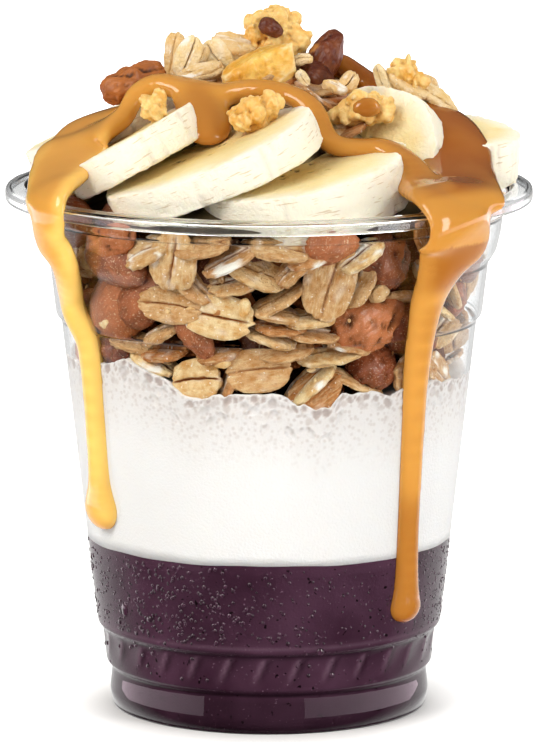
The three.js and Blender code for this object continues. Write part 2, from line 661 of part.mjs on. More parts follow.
// Slices are fitted from the front of the heap to its back, each cut to the ones before it
const cupCut = grownCup();
const grownSlices = [];
for (const [name, row] of Object.entries(SLICES)) {
  const disc = slice(row);
  addPiece(fruit, name, cut(solidOf(disc), [cupCut, ...grownSlices]), FINISHES.banana);
  grownSlices.push(grown(disc));
}

const grownToppings = [];
for (const [name, row] of Object.entries(TOPPINGS)) {
  const lump = topping(row);
  const finish = [row.at(-1), TOPPING_ROUGHNESS];
  addPiece(crunch, name, cut(solidOf(lump), [...grownSlices, ...grownToppings]), finish);
  grownToppings.push(grown(lump));
}

const neighbours = [cupCut, ...grownSlices, ...grownToppings];
addPiece(cupGroup, "caramel", cut(caramelStreams(0), neighbours), FINISHES.caramel);

const random = seeded(PIECE_SEED);
const pieces = [...wallPieces(random), ...heapPieces(random)];
const heap = pieces.reduce((all, piece) => all.add(solidOf(piece)), solidOf(granolaCore()));
addPiece(layers, "granola", cut(heap.subtract(caramelStreams(GAP)), neighbours), FINISHES.granola);

export default cupGroup;
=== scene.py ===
"""Looks of an acai cup: a clear tumbler layered with acai, cream and granola, heaped with banana
slices, granola pieces and poured caramel. Sizes are in millimetres until a mesh is made."""

import itertools
import math

import bpy
import numpy as np
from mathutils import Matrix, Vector


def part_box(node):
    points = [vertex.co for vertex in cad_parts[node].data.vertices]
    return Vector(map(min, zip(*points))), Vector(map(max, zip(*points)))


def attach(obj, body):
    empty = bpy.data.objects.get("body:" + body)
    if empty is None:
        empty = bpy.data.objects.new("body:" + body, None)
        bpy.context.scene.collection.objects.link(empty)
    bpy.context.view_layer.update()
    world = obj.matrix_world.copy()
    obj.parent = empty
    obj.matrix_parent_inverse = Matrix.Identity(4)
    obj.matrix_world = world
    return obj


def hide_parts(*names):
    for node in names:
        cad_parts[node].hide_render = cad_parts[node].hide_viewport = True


bl_info = {
    "name": "Acai Cup",
    "version": (1, 0, 0),
    "blender": (4, 5, 0),
    "location": "View3D > Sidebar > Acai Cup",
    "description": "Builds a layered acai cup with fruit, granola and caramel round its solids",
    "category": "Add Mesh",
}

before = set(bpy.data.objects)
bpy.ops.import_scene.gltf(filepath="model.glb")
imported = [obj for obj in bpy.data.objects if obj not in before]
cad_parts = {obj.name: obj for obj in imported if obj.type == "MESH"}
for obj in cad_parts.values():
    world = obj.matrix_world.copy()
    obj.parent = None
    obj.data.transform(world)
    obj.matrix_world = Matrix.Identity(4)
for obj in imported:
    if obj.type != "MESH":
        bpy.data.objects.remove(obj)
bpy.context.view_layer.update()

MM = 0.001
TURN = 2 * math.pi
BODY = "root"
UP = np.array([0.0, 0.0, 1.0])

# Cup: the wall's outside from the foot to the neck as radius and height, then its other sizes
CUP_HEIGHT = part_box("cup")[1].z / MM
RIM_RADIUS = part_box("cup")[1].x / MM
LIP_DEPTH = 2.5
SKIRT = 0.7
WALL = 0.75
BAND_LOW = 8.8
BAND_HIGH = 15.0
WALL_OUTLINE = np.array([
    (29.3, 0), (29.9, 2.7), (29.6, 5.6), (29.45, 7.2), (30.5, 8.3), (30.6, BAND_LOW),
    (31.3, BAND_HIGH), (32.15, 15.7), (32.25, 16.7), (38.7, 73.2), (39.65, 74.1), (40.8, 83.9),
    (42.3, 86.2), (43.1, 89.5), (43.5, 92.9), (44.5, 93.6), (44.8, CUP_HEIGHT - LIP_DEPTH),
])
FOOT_RADIUS = 29.3
FOOT_INSIDE_RADIUS = 26.0
FLOOR_RADIUS = 24.4
FLOOR_LIFT = 1.6
CORNER_REACH = 0.45
# Flutes: lean in radians over the band, shares of its height over which they start and end
FLUTE_LEAN = 0.085
FLUTE_STARTS, FLUTE_ENDS = (0.0, 0.6), (0.8, 1.0)
# Heights of the rings that cut the band finely
BAND_CUTS = np.arange(BAND_LOW + 1, BAND_HIGH - 0.9, 0.7)
# Lip: rise of the skirt's inner edge, bevels of the skirt, the outer edge and the mouth, and how
# far its corners and the foot's are eased
SKIRT_RISE, SKIRT_BEVEL, LIP_BEVEL, MOUTH_BEVEL = 0.1, 0.3, 0.5, (0.4, 0.9)
LIP_EASE, FOOT_EASE = 0.5, 0.8
# How far inside the wall's outer face the layers end
FILM = 0.22

# Layers: levels, and the uneven top of the cream
ACAI_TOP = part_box("acai")[1].z / MM
CREAM_TOP = 66.0
FOAM_DEPTH = 19.0
# Where the foam ends against the wall: degrees to the right of the front, height
CREAM_EDGE = np.array([
    (-180, 66), (-140, 68), (-100, 67), (-70, 67), (-54, 67.8), (-43, 69), (-36, 68), (-29, 66.4),
    (-25, 64.2), (-17, 63.8), (-10, 64.8), (1, 65.2), (6, 63.2), (12, 62), (17, 62.2), (21, 64.6),
    (29, 64.4), (36, 63.4), (42, 64.6), (52, 64.8), (64, 63.9), (90, 63), (130, 65), (180, 66),
])
# Share of the beads' full density round the wall: degrees to the right of the front, share
BEAD_CROWD = np.array([
    (-180, 0.4), (-85, 0.3), (-58, 0.55), (-45, 1), (-22, 0.75), (0, 0.42), (24, 0.36), (40, 0.2),
    (54, 0.35), (60, 1), (85, 1), (110, 0.4), (180, 0.4),
])
# Drops that ran together: degrees, height, half width, half height
DROPS = [
    (-54.5, 21.4, 0.85, 1.5), (-42.3, 20.6, 0.7, 0.7), (-47, 18.6, 0.45, 0.5), (17, 15.9, 0.7, 0.7),
    (22, 11, 0.55, 0.55), (-58.5, 18.6, 0.5, 0.6), (128, 24, 0.8, 1.3), (-130, 20, 0.7, 0.9),
]

# Beads in mm: least radius, its spread and bias towards small ones, and how tall they stretch
BEAD_LEAST, BEAD_SPREAD, BEAD_BIAS = 0.2, 0.24, 1.6
BEAD_STRETCH = (0.95, 1.2)
# Beads are finer from these degrees on, few up to just above the band, and end under the cream
FINE_FROM, FINE_SHARE = 15, 0.7
BARE_RISE, BARE_SHARE = 2, 0.1
BEAD_MARGIN = 0.6
DROP_SIDES = 16
# Section of a bead as shares of its half width, across and out from the wall; its foot and crown
BEAD_SECTION = np.array([(0.94, -0.2), (1.0, 0.0), (0.74, 0.3)])
BEAD_FOOT, BEAD_CROWN = 0.2, 0.42
# Waves of the boundary between acai and cream: height, number round the wall, phase
ACAI_WAVES = ((0.14, 3, 0.4), (0.1, 7, 0), (0.05, 17, 0))
# Where the acai's wall turns plain, and the step between its rings from there on
PLAIN_FROM, PLAIN_STEP = 18, 2
# Painted highlights on the acai's brow above the band and the flutes' ridges; painted shade on the
# step above the foot, the grooves, the ledge and the foot; widths in mm or as a share of a flute
FOOT_STEP, BROW = 7.4, 16.6
RIDGE_WIDTH, RIDGE_HIGHLIGHT = 0.09, 0.65
GROOVE_PLACE, GROOVE_WIDTH, GROOVE_SHADE = 0.16, 0.1, 0.6
LEDGE_WIDTH, LEDGE_SHADE = 0.5, 0.55
STEP_WIDTH, STEP_SHADE = 0.6, 0.75
BROW_WIDTH, BROW_HIGHLIGHT = 0.4, 0.35
FOOT_SHADE_FADE, FOOT_SHADE = (5.6, FOOT_STEP), 0.5
# Bulges of the foam's edge: height, size and shift in the relief; then how far they are sunk
FOAM_BULGES = ((1.1, 3.4, 0), (0.4, 1.4, 30))
FOAM_SUNK = 0.5
# Bubbles in mm: least radius, spread, gap between them; and their dent as a share of the radius
BUBBLE_LEAST, BUBBLE_SPREAD, BUBBLE_GAP = 0.3, 0.75, 0.03
BUBBLE_DENT = 0.45
# How deep bubbles lie: least depth in mm, share of their radius, and share of the foam's depth
BUBBLE_COVER, BUBBLE_SINK, BUBBLE_REACH = 0.1, 0.7, 0.3
# Painted shade in the bubbles at the foam's edge, how much of it goes deeper down, between which
# depths
PIT_SHADE, PIT_FADE, PIT_DEPTHS = 0.95, 0.89, (0.6, 2.8)
PIT_CONTRAST = 1.6
# Tint of the foam and of the coarser froth at its edge, and between which depths each goes
FOAM_TINT, FOAM_FADE = 0.6, (2, FOAM_DEPTH * 0.85)
FROTH_TINT, FROTH_FADE = 0.75, (2, 6)
# Top of the cream from the wall inwards: share of the radius, fall below the edge
FOAM_FLOOR = ((0.97, -0.2), (0.93, 0.5), (0.8, 1.2), (0.4, 1.5))
CREAM_COLUMNS, FOAM_ROWS, PLAIN_ROWS = 600, 72, 8

# Granola: the bare core's inset from the wall and the heap above the rim as radius and height
CORE_INSET = 9.0
HEAP_CENTRE_Y = 8.0
HEAP_OUTLINE = np.array([(40, 94.5), (27, 99.5), (20, 107), (12, 114.5), (0, 117.6)])
# Heights between which the bed's crumb goes from shaded to lit; its lumps' size and relief
HEAP_LIT = (93.5, 100.0)
BED_LUMP, BED_RELIEF = 2.6, 0.7
# Top of the loose pieces round the wall and, within these degrees of the front, under the fruit
GRANOLA_TOP = 93.6
FRUIT_FOOT = 89.0
FRUIT_SPAN = 42
# Strewn oats: reach and lift, where the front starts, how low they lie there and their painted shade
# there
STREWN_REACH, STREWN_LIFT = 41, 0.8
STREWN_FROM = 8.0
STREWN_LOW = 107.0
STREWN_SHADE = 0.2

# Pieces that press against the front of the wall: kind, degrees to the right of the front, height,
# half length, half width, spin of the long axis, lean away from lying flat on the wall, tone
FRONT_PIECES = [
    ("oat", -25.5, 89.2, 5.3, 4.9, 84, 4, 0.38),
    ("oat", -28.0, 80.8, 6.4, 3.5, -4, 14, 0.5),
    ("oat", -13.5, 79.2, 6.2, 4.2, -6, 6, 0.12),
    ("oat", 16.5, 85.8, 7.4, 4.9, 76, 5, 0.5),
    ("oat", -21.5, 67.0, 4.8, 3.9, 8, 8, 0.15),
    ("oat", -3.0, 69.2, 6.0, 4.2, 8, 12, 0.5),
    ("almond", -50.0, 80.8, 8.2, 6.2, 62, 8, 0.35),
    ("crumb", -50.5, 76.4, 2.0, 1.5, 20, 10, 0.1),
    ("crumb", 31.0, 83.0, 2.2, 1.8, 10, 0, 0.4),
    ("crumb", -6.6, 80.8, 2.1, 1.1, 80, 10, 0.0),
    ("crumb", -13.0, 70.4, 1.4, 0.9, 0, 10, 0.0),
    ("almond", -46.0, 87.6, 7.6, 4.4, -18, 10, 0.7),
    ("pecan", -46.0, 92.0, 5.6, 3.2, 12, 10, 0.3),
    ("pecan", 31.5, 77.4, 7.6, 5.6, 28, 8, 0.3),
    ("pecan", 34.0, 88.6, 5.4, 5.0, 70, 8, 0.7),
    ("pecan", 34.5, 68.2, 4.6, 4.2, 20, 8, 0.8),
    ("oat", -10.0, 90.0, 5.6, 3.6, 28, 62, 0.65),
    ("oat", -4.0, 87.6, 6.0, 3.8, -24, 50, 0.3),
    ("oat", -9.0, 86.0, 5.2, 3.6, 16, 48, 0.45),
    ("oat", 2.5, 82.2, 5.4, 3.4, 30, 72, 0.5),
    ("oat", 3.0, 77.2, 4.6, 3.6, -6, 74, 0.85),
    ("oat", 0.5, 75.4, 4.8, 3.6, -18, 70, 0.25),
    ("oat", 2.0, 79.6, 4.4, 3.4, -12, 74, 0.45),
    ("almond", -21.0, 75.2, 5.2, 2.9, -58, 20, 0.6),
    ("oat", -32.5, 75.4, 4.2, 3.0, 24, 64, 0.5),
    ("oat", -33.0, 71.4, 4.6, 3.4, 4, 66, 0.9),
    ("oat", -46.0, 72.4, 5.0, 3.2, -8, 72, 0.5),
    ("oat", -37.0, 69.6, 4.8, 3.2, -24, 74, 0.02),
    ("pecan", -52.0, 70.4, 4.4, 4.0, 10, 8, 0.9),
    ("oat", -12.5, 66.2, 4.0, 3.0, 66, 60, 0.75),
    ("oat", 12.0, 78.8, 4.6, 3.6, 4, 72, 0.2),
    ("oat", 12.5, 75.8, 5.0, 3.8, -8, 70, 0.6),
    ("oat", 18.5, 71.6, 6.2, 3.6, 6, 64, 0.15),
    ("oat", 12.5, 66.6, 5.6, 3.2, 42, 62, 0.05),
    ("oat", 13.5, 64.6, 5.4, 3.8, 36, 26, 0.85),
    ("oat", 28.0, 66.0, 5.8, 3.4, -24, 70, 0.45),
    ("oat", 10.5, 91.0, 4.6, 3.4, 18, 52, 0.75),
    ("oat", 7.5, 88.8, 5.0, 3.2, 40, 66, 0.6),
    ("oat", 25.0, 84.8, 4.8, 3.6, 60, 52, 0.5),
    ("oat", 24.5, 90.2, 4.6, 3.0, 30, 62, 0.1),
    ("oat", 61.5, 81.8, 5.6, 2.8, -56, 60, 0.1),
    ("oat", 56.5, 78.4, 5.0, 3.0, -30, 62, 0.12),
    ("oat", 63.0, 73.6, 5.4, 3.2, 24, 60, 0.3),
    ("oat", 52.0, 86.0, 4.8, 3.4, 20, 40, 0.25),
    ("oat", 5.0, 73.0, 5.0, 3.6, 12, 62, 0.55),
    ("oat", -20.5, 84.8, 4.4, 3.2, -40, 50, 0.6),
    ("oat", -15.0, 71.8, 4.0, 2.8, 10, 66, 0.75),
    ("oat", 24.0, 73.4, 4.6, 3.2, -14, 68, 0.65),
    ("oat", -17.5, 92.2, 5.2, 3.6, 10, 60, 0.6),
    ("oat", 3.0, 91.8, 5.4, 3.4, -10, 64, 0.5),
    ("almond", 17.0, 92.4, 5.0, 3.0, 8, 20, 0.5),
    ("oat", -34.0, 90.4, 4.8, 3.4, 24, 40, 0.4),
]
# Gaps between pieces, depth of each layer behind the wall, how much painted shade darkens its pieces
# and how many places are tried in it
LAYER_GAPS = (6.6, 6.4, 7.4)
LAYER_STEP = 3.4
LAYER_SHADE = (0.0, 0.66, 1.0)
LAYER_TRIES = 2600
# Shares of the kinds that fill a layer, and the nuts' half length and half width
KIND_SHARES = {"almond": 0.09, "pecan": 0.09, "oat": 0.82}
NUT_HALVES = {"almond": (7.0, 4.6), "pecan": (6.0, 4.4)}
# Depth of a nut or crumb as a share of its width; a nut's taper and how blunt its ends are
NUT_DEPTHS = {"almond": 0.72, "pecan": 0.85}
CRUMB_DEPTH = 0.8
NUT_FORMS = {"almond": (0.3, 0.85), "pecan": (0.1, 0.7), "raisin": (0.2, 0.75)}
# How the oats' toasting is spread, and the share with floury cracks
TOAST_SPREAD = (1.6, 1.8)
FLOURY_SHARE = 0.62
# An oat's outline, squarer than an ellipse; its furrow and the lips beside it as shares of its width
OAT_SQUARENESS = 2.3
FURROW_WIDTH = 0.06
OAT_LIP_PLACE, OAT_LIP_WIDTH = 0.16, 0.08
# Rings and sides of a piece: in front on the wall, elsewhere, and deeper or on top
FINE_FLAKE = (25, 34)
PLAIN_FLAKE = (11, 16)
DEEP_FLAKE = (7, 10)
FINE_NUT = (38, 34)
PLAIN_NUT = (18, 16)
TOP_NUT = (64, 48)
FINE_CRUMB = (12, 18)
PLAIN_CRUMB = (4, 7)

# Banana slices: centre, direction its upper face looks, half length, half width, thickness
SLICES = {
    "banana_left": ((-24.6, -11.5, 105.6), (-0.48, 0.076, 0.875), 13.2, 14.5, 6.4),
    "banana_front_left": ((-9.7, -19.8, 104.0), (-0.382, -0.069, 0.921), 20.2, 16.0, 6.5),
    "banana_front_right": ((5.8, -21.6, 99.0), (-0.168, -0.108, 0.98), 18.6, 16.8, 9.1),
    "banana_right": ((17.9, -3.6, 101.6), (-0.45, -0.74, 0.51), 15.5, 15.5, 6.5),
    "banana_rim_right": ((31.6, 3.0, 103.3), (0.05, -0.12, 0.99), 14.2, 13.0, 9.2),
    "banana_rim_left": ((-30.0, 9.0, 106.2), (-0.42, 0.05, 0.905), 15.5, 14.0, 7.0),
    "banana_back_left": ((-12.5, 22.5, 103.5), (-0.22, 0.28, 0.93), 15.5, 14.5, 7.0),
    "banana_back_right": ((14.5, 23.5, 102.8), (0.2, 0.3, 0.93), 15.5, 15.0, 7.0),
}
SLICE_LOBES = 3
SLICE_LOBE_DEPTH = 0.025
SLICE_SIDES = 170
SEED_RAYS = 3
SEEDS_IN_RAY = 3
# Rings of a slice on its face, side and underside; its bevel in mm and the creases in its side
SLICE_FACE_ROWS, SLICE_SIDE_ROWS, SLICE_UNDER_ROWS = 30, 14, 4
SLICE_BEVEL = 0.5
SLICE_CREASES = 7

# Granola pieces on top: kind, centre, half sizes, turn about Y and about Z in degrees
TOPPINGS = {
    "crown_cluster": ("cluster", (1.6, 7.0, 125.6), (6.0, 5.4, 5.0), 0, 0),
    "crown_almond": ("raisin", (10.4, 6.0, 121.0), (5.2, 3.4, 3.2), -62, 10),
    "dark_nut": ("raisin", (8.6, 2.8, 117.2), (3.8, 3.0, 3.0), 25, 40),
    "golden_chip": ("chip", (-1.9, -2.0, 119.9), (7.8, 4.8, 2.8), -22, 8),
    "oat_cluster": ("flakes", (-7.4, 5.0, 121.8), (4.3, 4.0, 3.0), 0, 70),
    "standing_oats": ("flakes", (-15.6, 1.5, 121.8), (2.4, 2.2, 3.9), 18, 0),
    "left_pecan": ("pecan", (-25.0, 2.2, 116.6), (6.3, 3.7, 3.3), -18, 8),
    "left_cluster": ("cluster", (-20.9, -15.0, 114.6), (3.8, 3.2, 3.3), 10, 50),
    "middle_cluster": ("cluster", (-2.8, -17.2, 114.0), (5.8, 4.2, 4.1), -15, 20),
    "right_cluster": ("cluster", (17.0, -6.2, 113.0), (6.8, 4.0, 4.2), -8, 8),
    "oat_pecan_cluster": ("flakes", (26.7, 6.5, 115.6), (7.2, 4.8, 4.2), 15, 5),
    "back_cluster": ("cluster", (-5.5, 21.8, 112.8), (5.6, 4.6, 4.2), 10, 60),
    "back_almond": ("raisin", (7.0, 20.5, 114.0), (5.6, 3.6, 3.2), 12, 120),
    "back_chip": ("chip", (16.5, 15.0, 114.0), (5.4, 4.2, 2.6), 28, 70),
}
# Chips: facets, steps round the edge and turn of the fold in radians
CHIP_FACETS = 16
CHIP_SIDES = 110
CHIP_TILT = 0.75
# Clusters: small cores round the middle, radius of a nodule and mesh size in mm
CLUSTER_CORES = 7
NODULE = 1.15
CLUSTER_VOXEL = 0.21
# Direction that the cut face of the kernel at the crown looks
CROWN_CUT = (0.2, -0.3, 0.9)
# Lobes of the crown: offset from its centre, radius
CROWN_LOBES = [
    ((0.2, 0.4, -0.8), 4.0), ((-3.1, -0.8, 0.4), 2.9), ((-0.8, 0.2, 2.4), 2.5),
    ((2.0, 0.8, 1.4), 2.4), ((3.6, -1.2, -1.6), 2.7), ((-3.2, -1.4, -3.0), 2.2),
    ((0.6, 3.0, -1.0), 3.0), ((1.2, -2.2, -3.4), 2.4),
]
# Flakes of a topping: offset from its centre, long axis, facing, half sizes, tone
FLAKES = {
    "standing_oats": [
        ((-1.9, 0.2, 0.2), (0.1, 0, 1), (-0.5, -0.8, 0.1), (4.2, 2.2, 0.8), 0.5),
        ((0.5, -0.5, -0.2), (0.34, 0, 0.94), (0.2, -0.97, 0), (4.2, 2.4, 0.9), 0.05),
        ((2.1, 0.6, -1.0), (0.5, 0, 0.86), (0.6, -0.8, 0.2), (3.4, 1.9, 0.8), 0.2),
        ((2.6, -1.4, -3.0), (0.95, 0, 0.3), (-0.2, -0.5, 0.85), (4.4, 1.6, 0.9), 0.5),
    ],
    "oat_cluster": [
        ((-2.2, -2.0, -0.3), (0.6, 0, -0.8), (-0.5, -0.85, 0.2), (3.4, 2.9, 0.9), 0.02),
        ((0.8, -0.8, 1.9), (0.95, 0, -0.2), (-0.1, -0.45, 0.9), (4.0, 2.8, 0.9), 0.5),
        ((2.3, -1.6, -0.9), (0.8, 0, 0.6), (0.3, -0.9, 0.3), (3.2, 2.4, 1.0), 0.3),
        ((0.2, 1.2, -0.6), (0.7, 0.5, 0.3), (-0.2, 0.6, 0.8), (3.8, 2.8, 0.9), 0.4),
    ],
    "oat_pecan_cluster": [
        ((-5.3, -1.0, 0.5), (0.38, 0, -0.93), (-0.6, -0.8, 0.1), (3.8, 1.5, 0.7), 0.0),
        ((-3.8, -0.6, -0.2), (0.3, 0, -0.95), (-0.3, -0.95, 0.1), (3.4, 1.6, 0.8), 0.45),
        ((-0.4, -1.6, 0.5), (0.88, 0, -0.48), (-0.2, -0.6, 0.8), (4.3, 2.2, 0.9), 0.35),
        ((4.4, -1.2, -2.3), (0.82, 0, -0.57), (0.1, -0.75, 0.65), (4.4, 1.6, 0.9), 0.3),
        ((3.2, 0.3, -1.0), (0.84, 0.1, -0.54), (0.2, -0.6, 0.75), (4.6, 1.5, 0.8), 0.15),
        ((-1.1, -2.4, -2.1), (1, 0, 0.1), (0, -0.8, 0.6), (2.8, 1.6, 0.8), 0.05),
        ((1.0, 2.6, 0.2), (0.8, 0.5, -0.3), (0.1, 0.7, 0.7), (4.4, 2.8, 0.9), 0.5),
        ((-2.6, 2.4, -0.8), (0.4, 0.8, -0.2), (-0.4, 0.5, 0.75), (4.0, 2.8, 0.9), 0.3),
    ],
}
FOLDED_CRUMB = ((25.4, 5.0, 118.2), (4.4, 3.0, 2.9), 22, 20)
CROWN_RAISIN = ((0.4, 2.4, 126.8), (2.4, 1.5, 1.6), 28, 10)
# Loose flakes and puffs that lie among the toppings: place, long axis, facing, half sizes, tone
LOOSE_BITS = [
    ((5.9, -1.0, 121.4), (0.98, 0, 0.1), (0, -0.8, 0.6), (2.4, 0.95, 0.8), 0.3),
    ((6.2, -3.0, 118.2), (0.6, 0, -0.8), (-0.3, -0.9, 0.3), (1.7, 1.1, 0.5), 0.0),
    ((12.2, -4.6, 116.6), (0.93, 0, -0.36), (0, -0.6, 0.8), (2.4, 1.2, 0.7), 0.5),
    ((14.8, -3.0, 117.6), (0.6, 0, 0.8), (0.2, -0.9, 0.4), (2.0, 1.7, 1.5), 0.45),
    ((-12.6, 0.0, 118.9), (0.95, 0, 0.16), (0, -0.75, 0.65), (4.4, 1.9, 0.8), 0.35),
]

# Caramel streams from the heap's top to the rim: x, y, z, half width, half thickness and lean, the
# share by which the stream's outer side faces away from the cup's axis instead of up
STREAM_LEFT = [
    (-4, -8.4, 115.9, 2.8, 1.9, 0), (-9.5, -6.6, 115.6, 3.8, 2.2, 0),
    (-15.5, -5, 116.4, 4.6, 2.2, 0), (-20.6, -4.6, 117.2, 3.2, 2.1, 0),
    (-24.4, -6, 115.4, 2.1, 2, 0), (-26.8, -8, 111.6, 2.3, 2, 0), (-31, -8.5, 108.6, 7, 2, 0),
    (-34.6, -10, 106.2, 8.4, 2.1, 0), (-37, -15.5, 103.6, 7.4, 2.2, 0.15),
    (-38.6, -21.6, 101.2, 6.6, 2.3, 0.35), (-39.8, -26, 99.2, 6, 2.2, 0.6),
    (-40.2, -28, 96.3, 5.4, 1.8, 1),
]
STREAM_SHEET = [
    (-23.6, -2.4, 112, 3, 1.7, 0), (-28, -0.4, 110.8, 4.4, 1.8, 0), (-33, -1.6, 109, 5, 1.8, 0),
    (-36, -6, 106.6, 4.6, 1.8, 0), (-37.2, -11, 104.4, 3.8, 1.8, 0),
]
STREAM_TONGUE = [
    (-13.4, -4, 116.6, 5, 2.2, 0), (-12.6, -9, 114.6, 5.2, 2.2, 0),
    (-11.6, -14.5, 110.8, 5, 2.2, 0), (-10.8, -18.8, 108.2, 4.3, 1.9, 0),
]
STREAM_RIGHT = [
    (-9.5, -6.6, 115.4, 3.4, 2.2, 0), (-2.5, -8.6, 116.8, 2.9, 2, 0), (3.6, -10, 116, 2.7, 1.9, 0),
    (7.4, -12.5, 114, 2.7, 2, 0), (9.6, -15, 110, 2.9, 2, 0), (12, -15.6, 107.4, 3.2, 2, 0),
    (16.5, -14.8, 106.8, 3.4, 1.8, 0), (21, -15.4, 106.8, 3.2, 1.8, 0),
    (25, -19.5, 104.6, 3.4, 2, 0), (27.6, -26, 101, 4.8, 2.2, 0), (31, -33.4, 100, 6.2, 2.2, 0.3),
    (34, -36.4, 96.6, 7, 2, 1),
]
STREAM_POOL = [
    (12, 12, 120.2, 2.6, 1.9, 0), (18, 10.5, 116, 3.2, 2, 0), (24, 8, 112, 4.2, 2.2, 0),
    (30.4, 4, 109.8, 6.4, 2.4, 0), (33.6, -4, 106.4, 7, 2.6, 0),
    (34.4, -12.5, 102.8, 7, 2.6, 0), (35.2, -22, 100.4, 7.2, 2.6, 0),
    (36.4, -30.4, 99.8, 7.2, 2.3, 0.4), (37.3, -33.6, 96.6, 6.2, 2, 1),
]
STREAM_BACK = [
    (11.5, 12.5, 119.6, 2.8, 2, 0), (3, 14.5, 118.2, 3, 2, 0), (-7, 13.5, 117.4, 3.6, 2.2, 0),
    (-16, 16.5, 112.6, 4.4, 2.4, 0), (-25, 25.5, 104.4, 5.4, 2.4, 0.1),
    (-31, 33.4, 99.8, 5, 2.2, 0.5), (-33.2, 37, 96.3, 4.6, 2, 1),
]
STREAM_BACK_RIGHT = [
    (11.5, 12.5, 119.6, 2.8, 2, 0), (14, 18, 113.4, 4, 2.2, 0), (17, 25, 107.6, 4.6, 2.2, 0),
    (20, 32, 103.4, 3.8, 1.9, 0),
]
# Drips on the wall: degrees round the axis from +X, height, half width, half thickness
DRIP_LEFT = [
    (214, 92, 4.8, 2), (214.4, 87, 3.9, 2.3), (208.6, 80, 3.2, 2.4), (208.8, 76.4, 3.1, 2.4),
    (211.4, 71, 3, 2.3), (211, 58, 2.7, 2.2), (209.8, 46, 2.9, 2.5), (209.2, 40.6, 4.6, 3.3),
    (209, 36, 4.4, 3.1),
]
DRIP_RIGHT = [
    (314.2, 92, 9.2, 2.1), (313.6, 87, 5.8, 2.4), (314, 80, 3.8, 2.4), (314.6, 68, 3, 2.3),
    (315.6, 52, 2.6, 2.2), (317.2, 36, 2.5, 2.2), (318.4, 27, 2.8, 2.5), (318.9, 22.6, 3.6, 3),
    (319, 19.4, 3.4, 2.8),
]
DRIP_BACK = [
    (132, 92, 4.4, 2.1), (132, 87, 3.4, 2.3), (131.6, 80, 2.9, 2.2), (131.2, 72, 2.8, 2.2),
    (131, 66.5, 3.6, 2.9), (131, 63.6, 2.8, 2.2),
]
CURTAIN_TOP = 92.0
CURTAIN_FOOT = 74.0
CURTAIN_STAND_OFF = 4.6
CURTAIN_CURVE = 1.6
# How brown the sauce reads along each route, from thin and painted as lit to thick and painted as
# shaded
DEPTH_SHADE_ARCH, DEPTH_SHADE_LEFT, DEPTH_SHADE_SHEET, DEPTH_SHADE_TONGUE, DEPTH_SHADE_RIGHT = 0.12, -0.26, -0.1, 0.25, 0.3
DEPTH_SHADE_POOL, DEPTH_SHADE_CURTAIN, DEPTH_SHADE_BACK, DEPTH_SHADE_DAB = 0.95, 0.45, 0.4, 0.4
DEPTH_SHADE_DRIP_LEFT, DEPTH_SHADE_DRIP_RIGHT, DEPTH_SHADE_DRIP_FOOT, DEPTH_SHADE_DRIP_BACK = -0.38, 0.14, 0.65, -0.1
# Stations of the arch, a drip's foot and the curtain; how much browner a stream's middle reads; and
# the heights between which the sauce over the lip goes from thin to thick
ARCH_STATIONS = 6
FOOT_STATIONS = 4
CURTAIN_STATIONS = 2
THICK_SHARE = 0.4
POOL_EDGE = (100.2, 102.6)
# Sauce caught in the hollow of a cluster: centre, half sizes
SAUCE_DAB = ((17.6, -8.8, 113.4), (3.0, 1.5, 2.0))

# Camera of the photograph: where it stands, what it looks at and its lens on a 36 mm sensor
CAMERA_AT = (0.0, -1142.3, 264.5)
CAMERA_AIM = (-0.2, 0.0, 62.6)
CAMERA_LENS = 301.0
# What the lamps look at, in metres
LAMP_AIM = (0, 0, 0.07)

# Glowing white cards that the foot mirrors: degrees from the front, reach, lowest and highest edge
CARD_SPANS = ((-133, -47), (25, 143))
CARD_REACH = 1000
CARD_EDGES = (-150, 75)
# Depths in metres between which the cards go from dark to full light
CARD_FADE = (-1.6, 0.7)
# Paper sweep: steps round it, rings, level of its face and of its underside
SWEEP_SIDES = 96
SWEEP_RADII = (40, 120, 400, 1200, 4000)
SWEEP_LEVEL, SWEEP_UNDERSIDE = -0.05, -40
# Where the paper's glow starts over its contact shadow and how strong it gets there, then where it
# rises to full further out
SHADOW_REACH = (0.0295, 0.04)
SHADOW_WASH = 0.45
FAR_REACH = (0.3, 0.9)
# Directions in which the surround brightens: upwards for the fill, and the backdrop behind the cup
FILL_RISE = (-0.06, 0.7)
BACKDROP_DEPTH = (0.0, 0.6)
BACKDROP_RISE = (0.03, -0.04)
INNER_RISE = (-0.32, -0.1)

# Starts of the random draws; those of the toppings and slices count up
TOPPING_SEED, RAISIN_SEED, FOLDED_SEED, LOOSE_SEED, DAB_SEED, SLICE_SEED = 300, 340, 350, 360, 380, 500
LATTICE_SIDE = 64
LATTICE = np.random.default_rng(11).uniform(-1, 1, (LATTICE_SIDE,) * 3)


def linear(hex_colour):
    """Linear RGBA of an sRGB hex colour such as '#c98a3a'."""
    channels = [int(hex_colour[i:i + 2], 16) / 255 for i in (1, 3, 5)]
    return [c / 12.92 if c <= 0.04045 else ((c + 0.055) / 1.055) ** 2.4 for c in channels] + [1.0]


# Shapes

def lumps(points, size, octaves=1):
    """Smooth random relief from about -1 to 1 at points in mm, with lumps of this size in mm."""
    total = np.zeros(len(points))
    for octave in range(octaves):
        cells = np.asarray(points) * (2 ** octave / np.asarray(size)) + 17.3 * octave
        low = np.floor(cells)
        share = cells - low
        share = share * share * (3 - 2 * share)
        low = low.astype(int)
        for corner in itertools.product((0, 1), repeat=3):
            index = (low + corner) % LATTICE_SIDE
            weight = np.prod(np.where(corner, share, 1 - share), axis=1)
            total += weight * LATTICE[index[:, 0], index[:, 1], index[:, 2]] / 2 ** octave
    return total


def smooth_step(values, low, high):
    share = np.clip((values - low) / (high - low), 0, 1)
    return share * share * (3 - 2 * share)


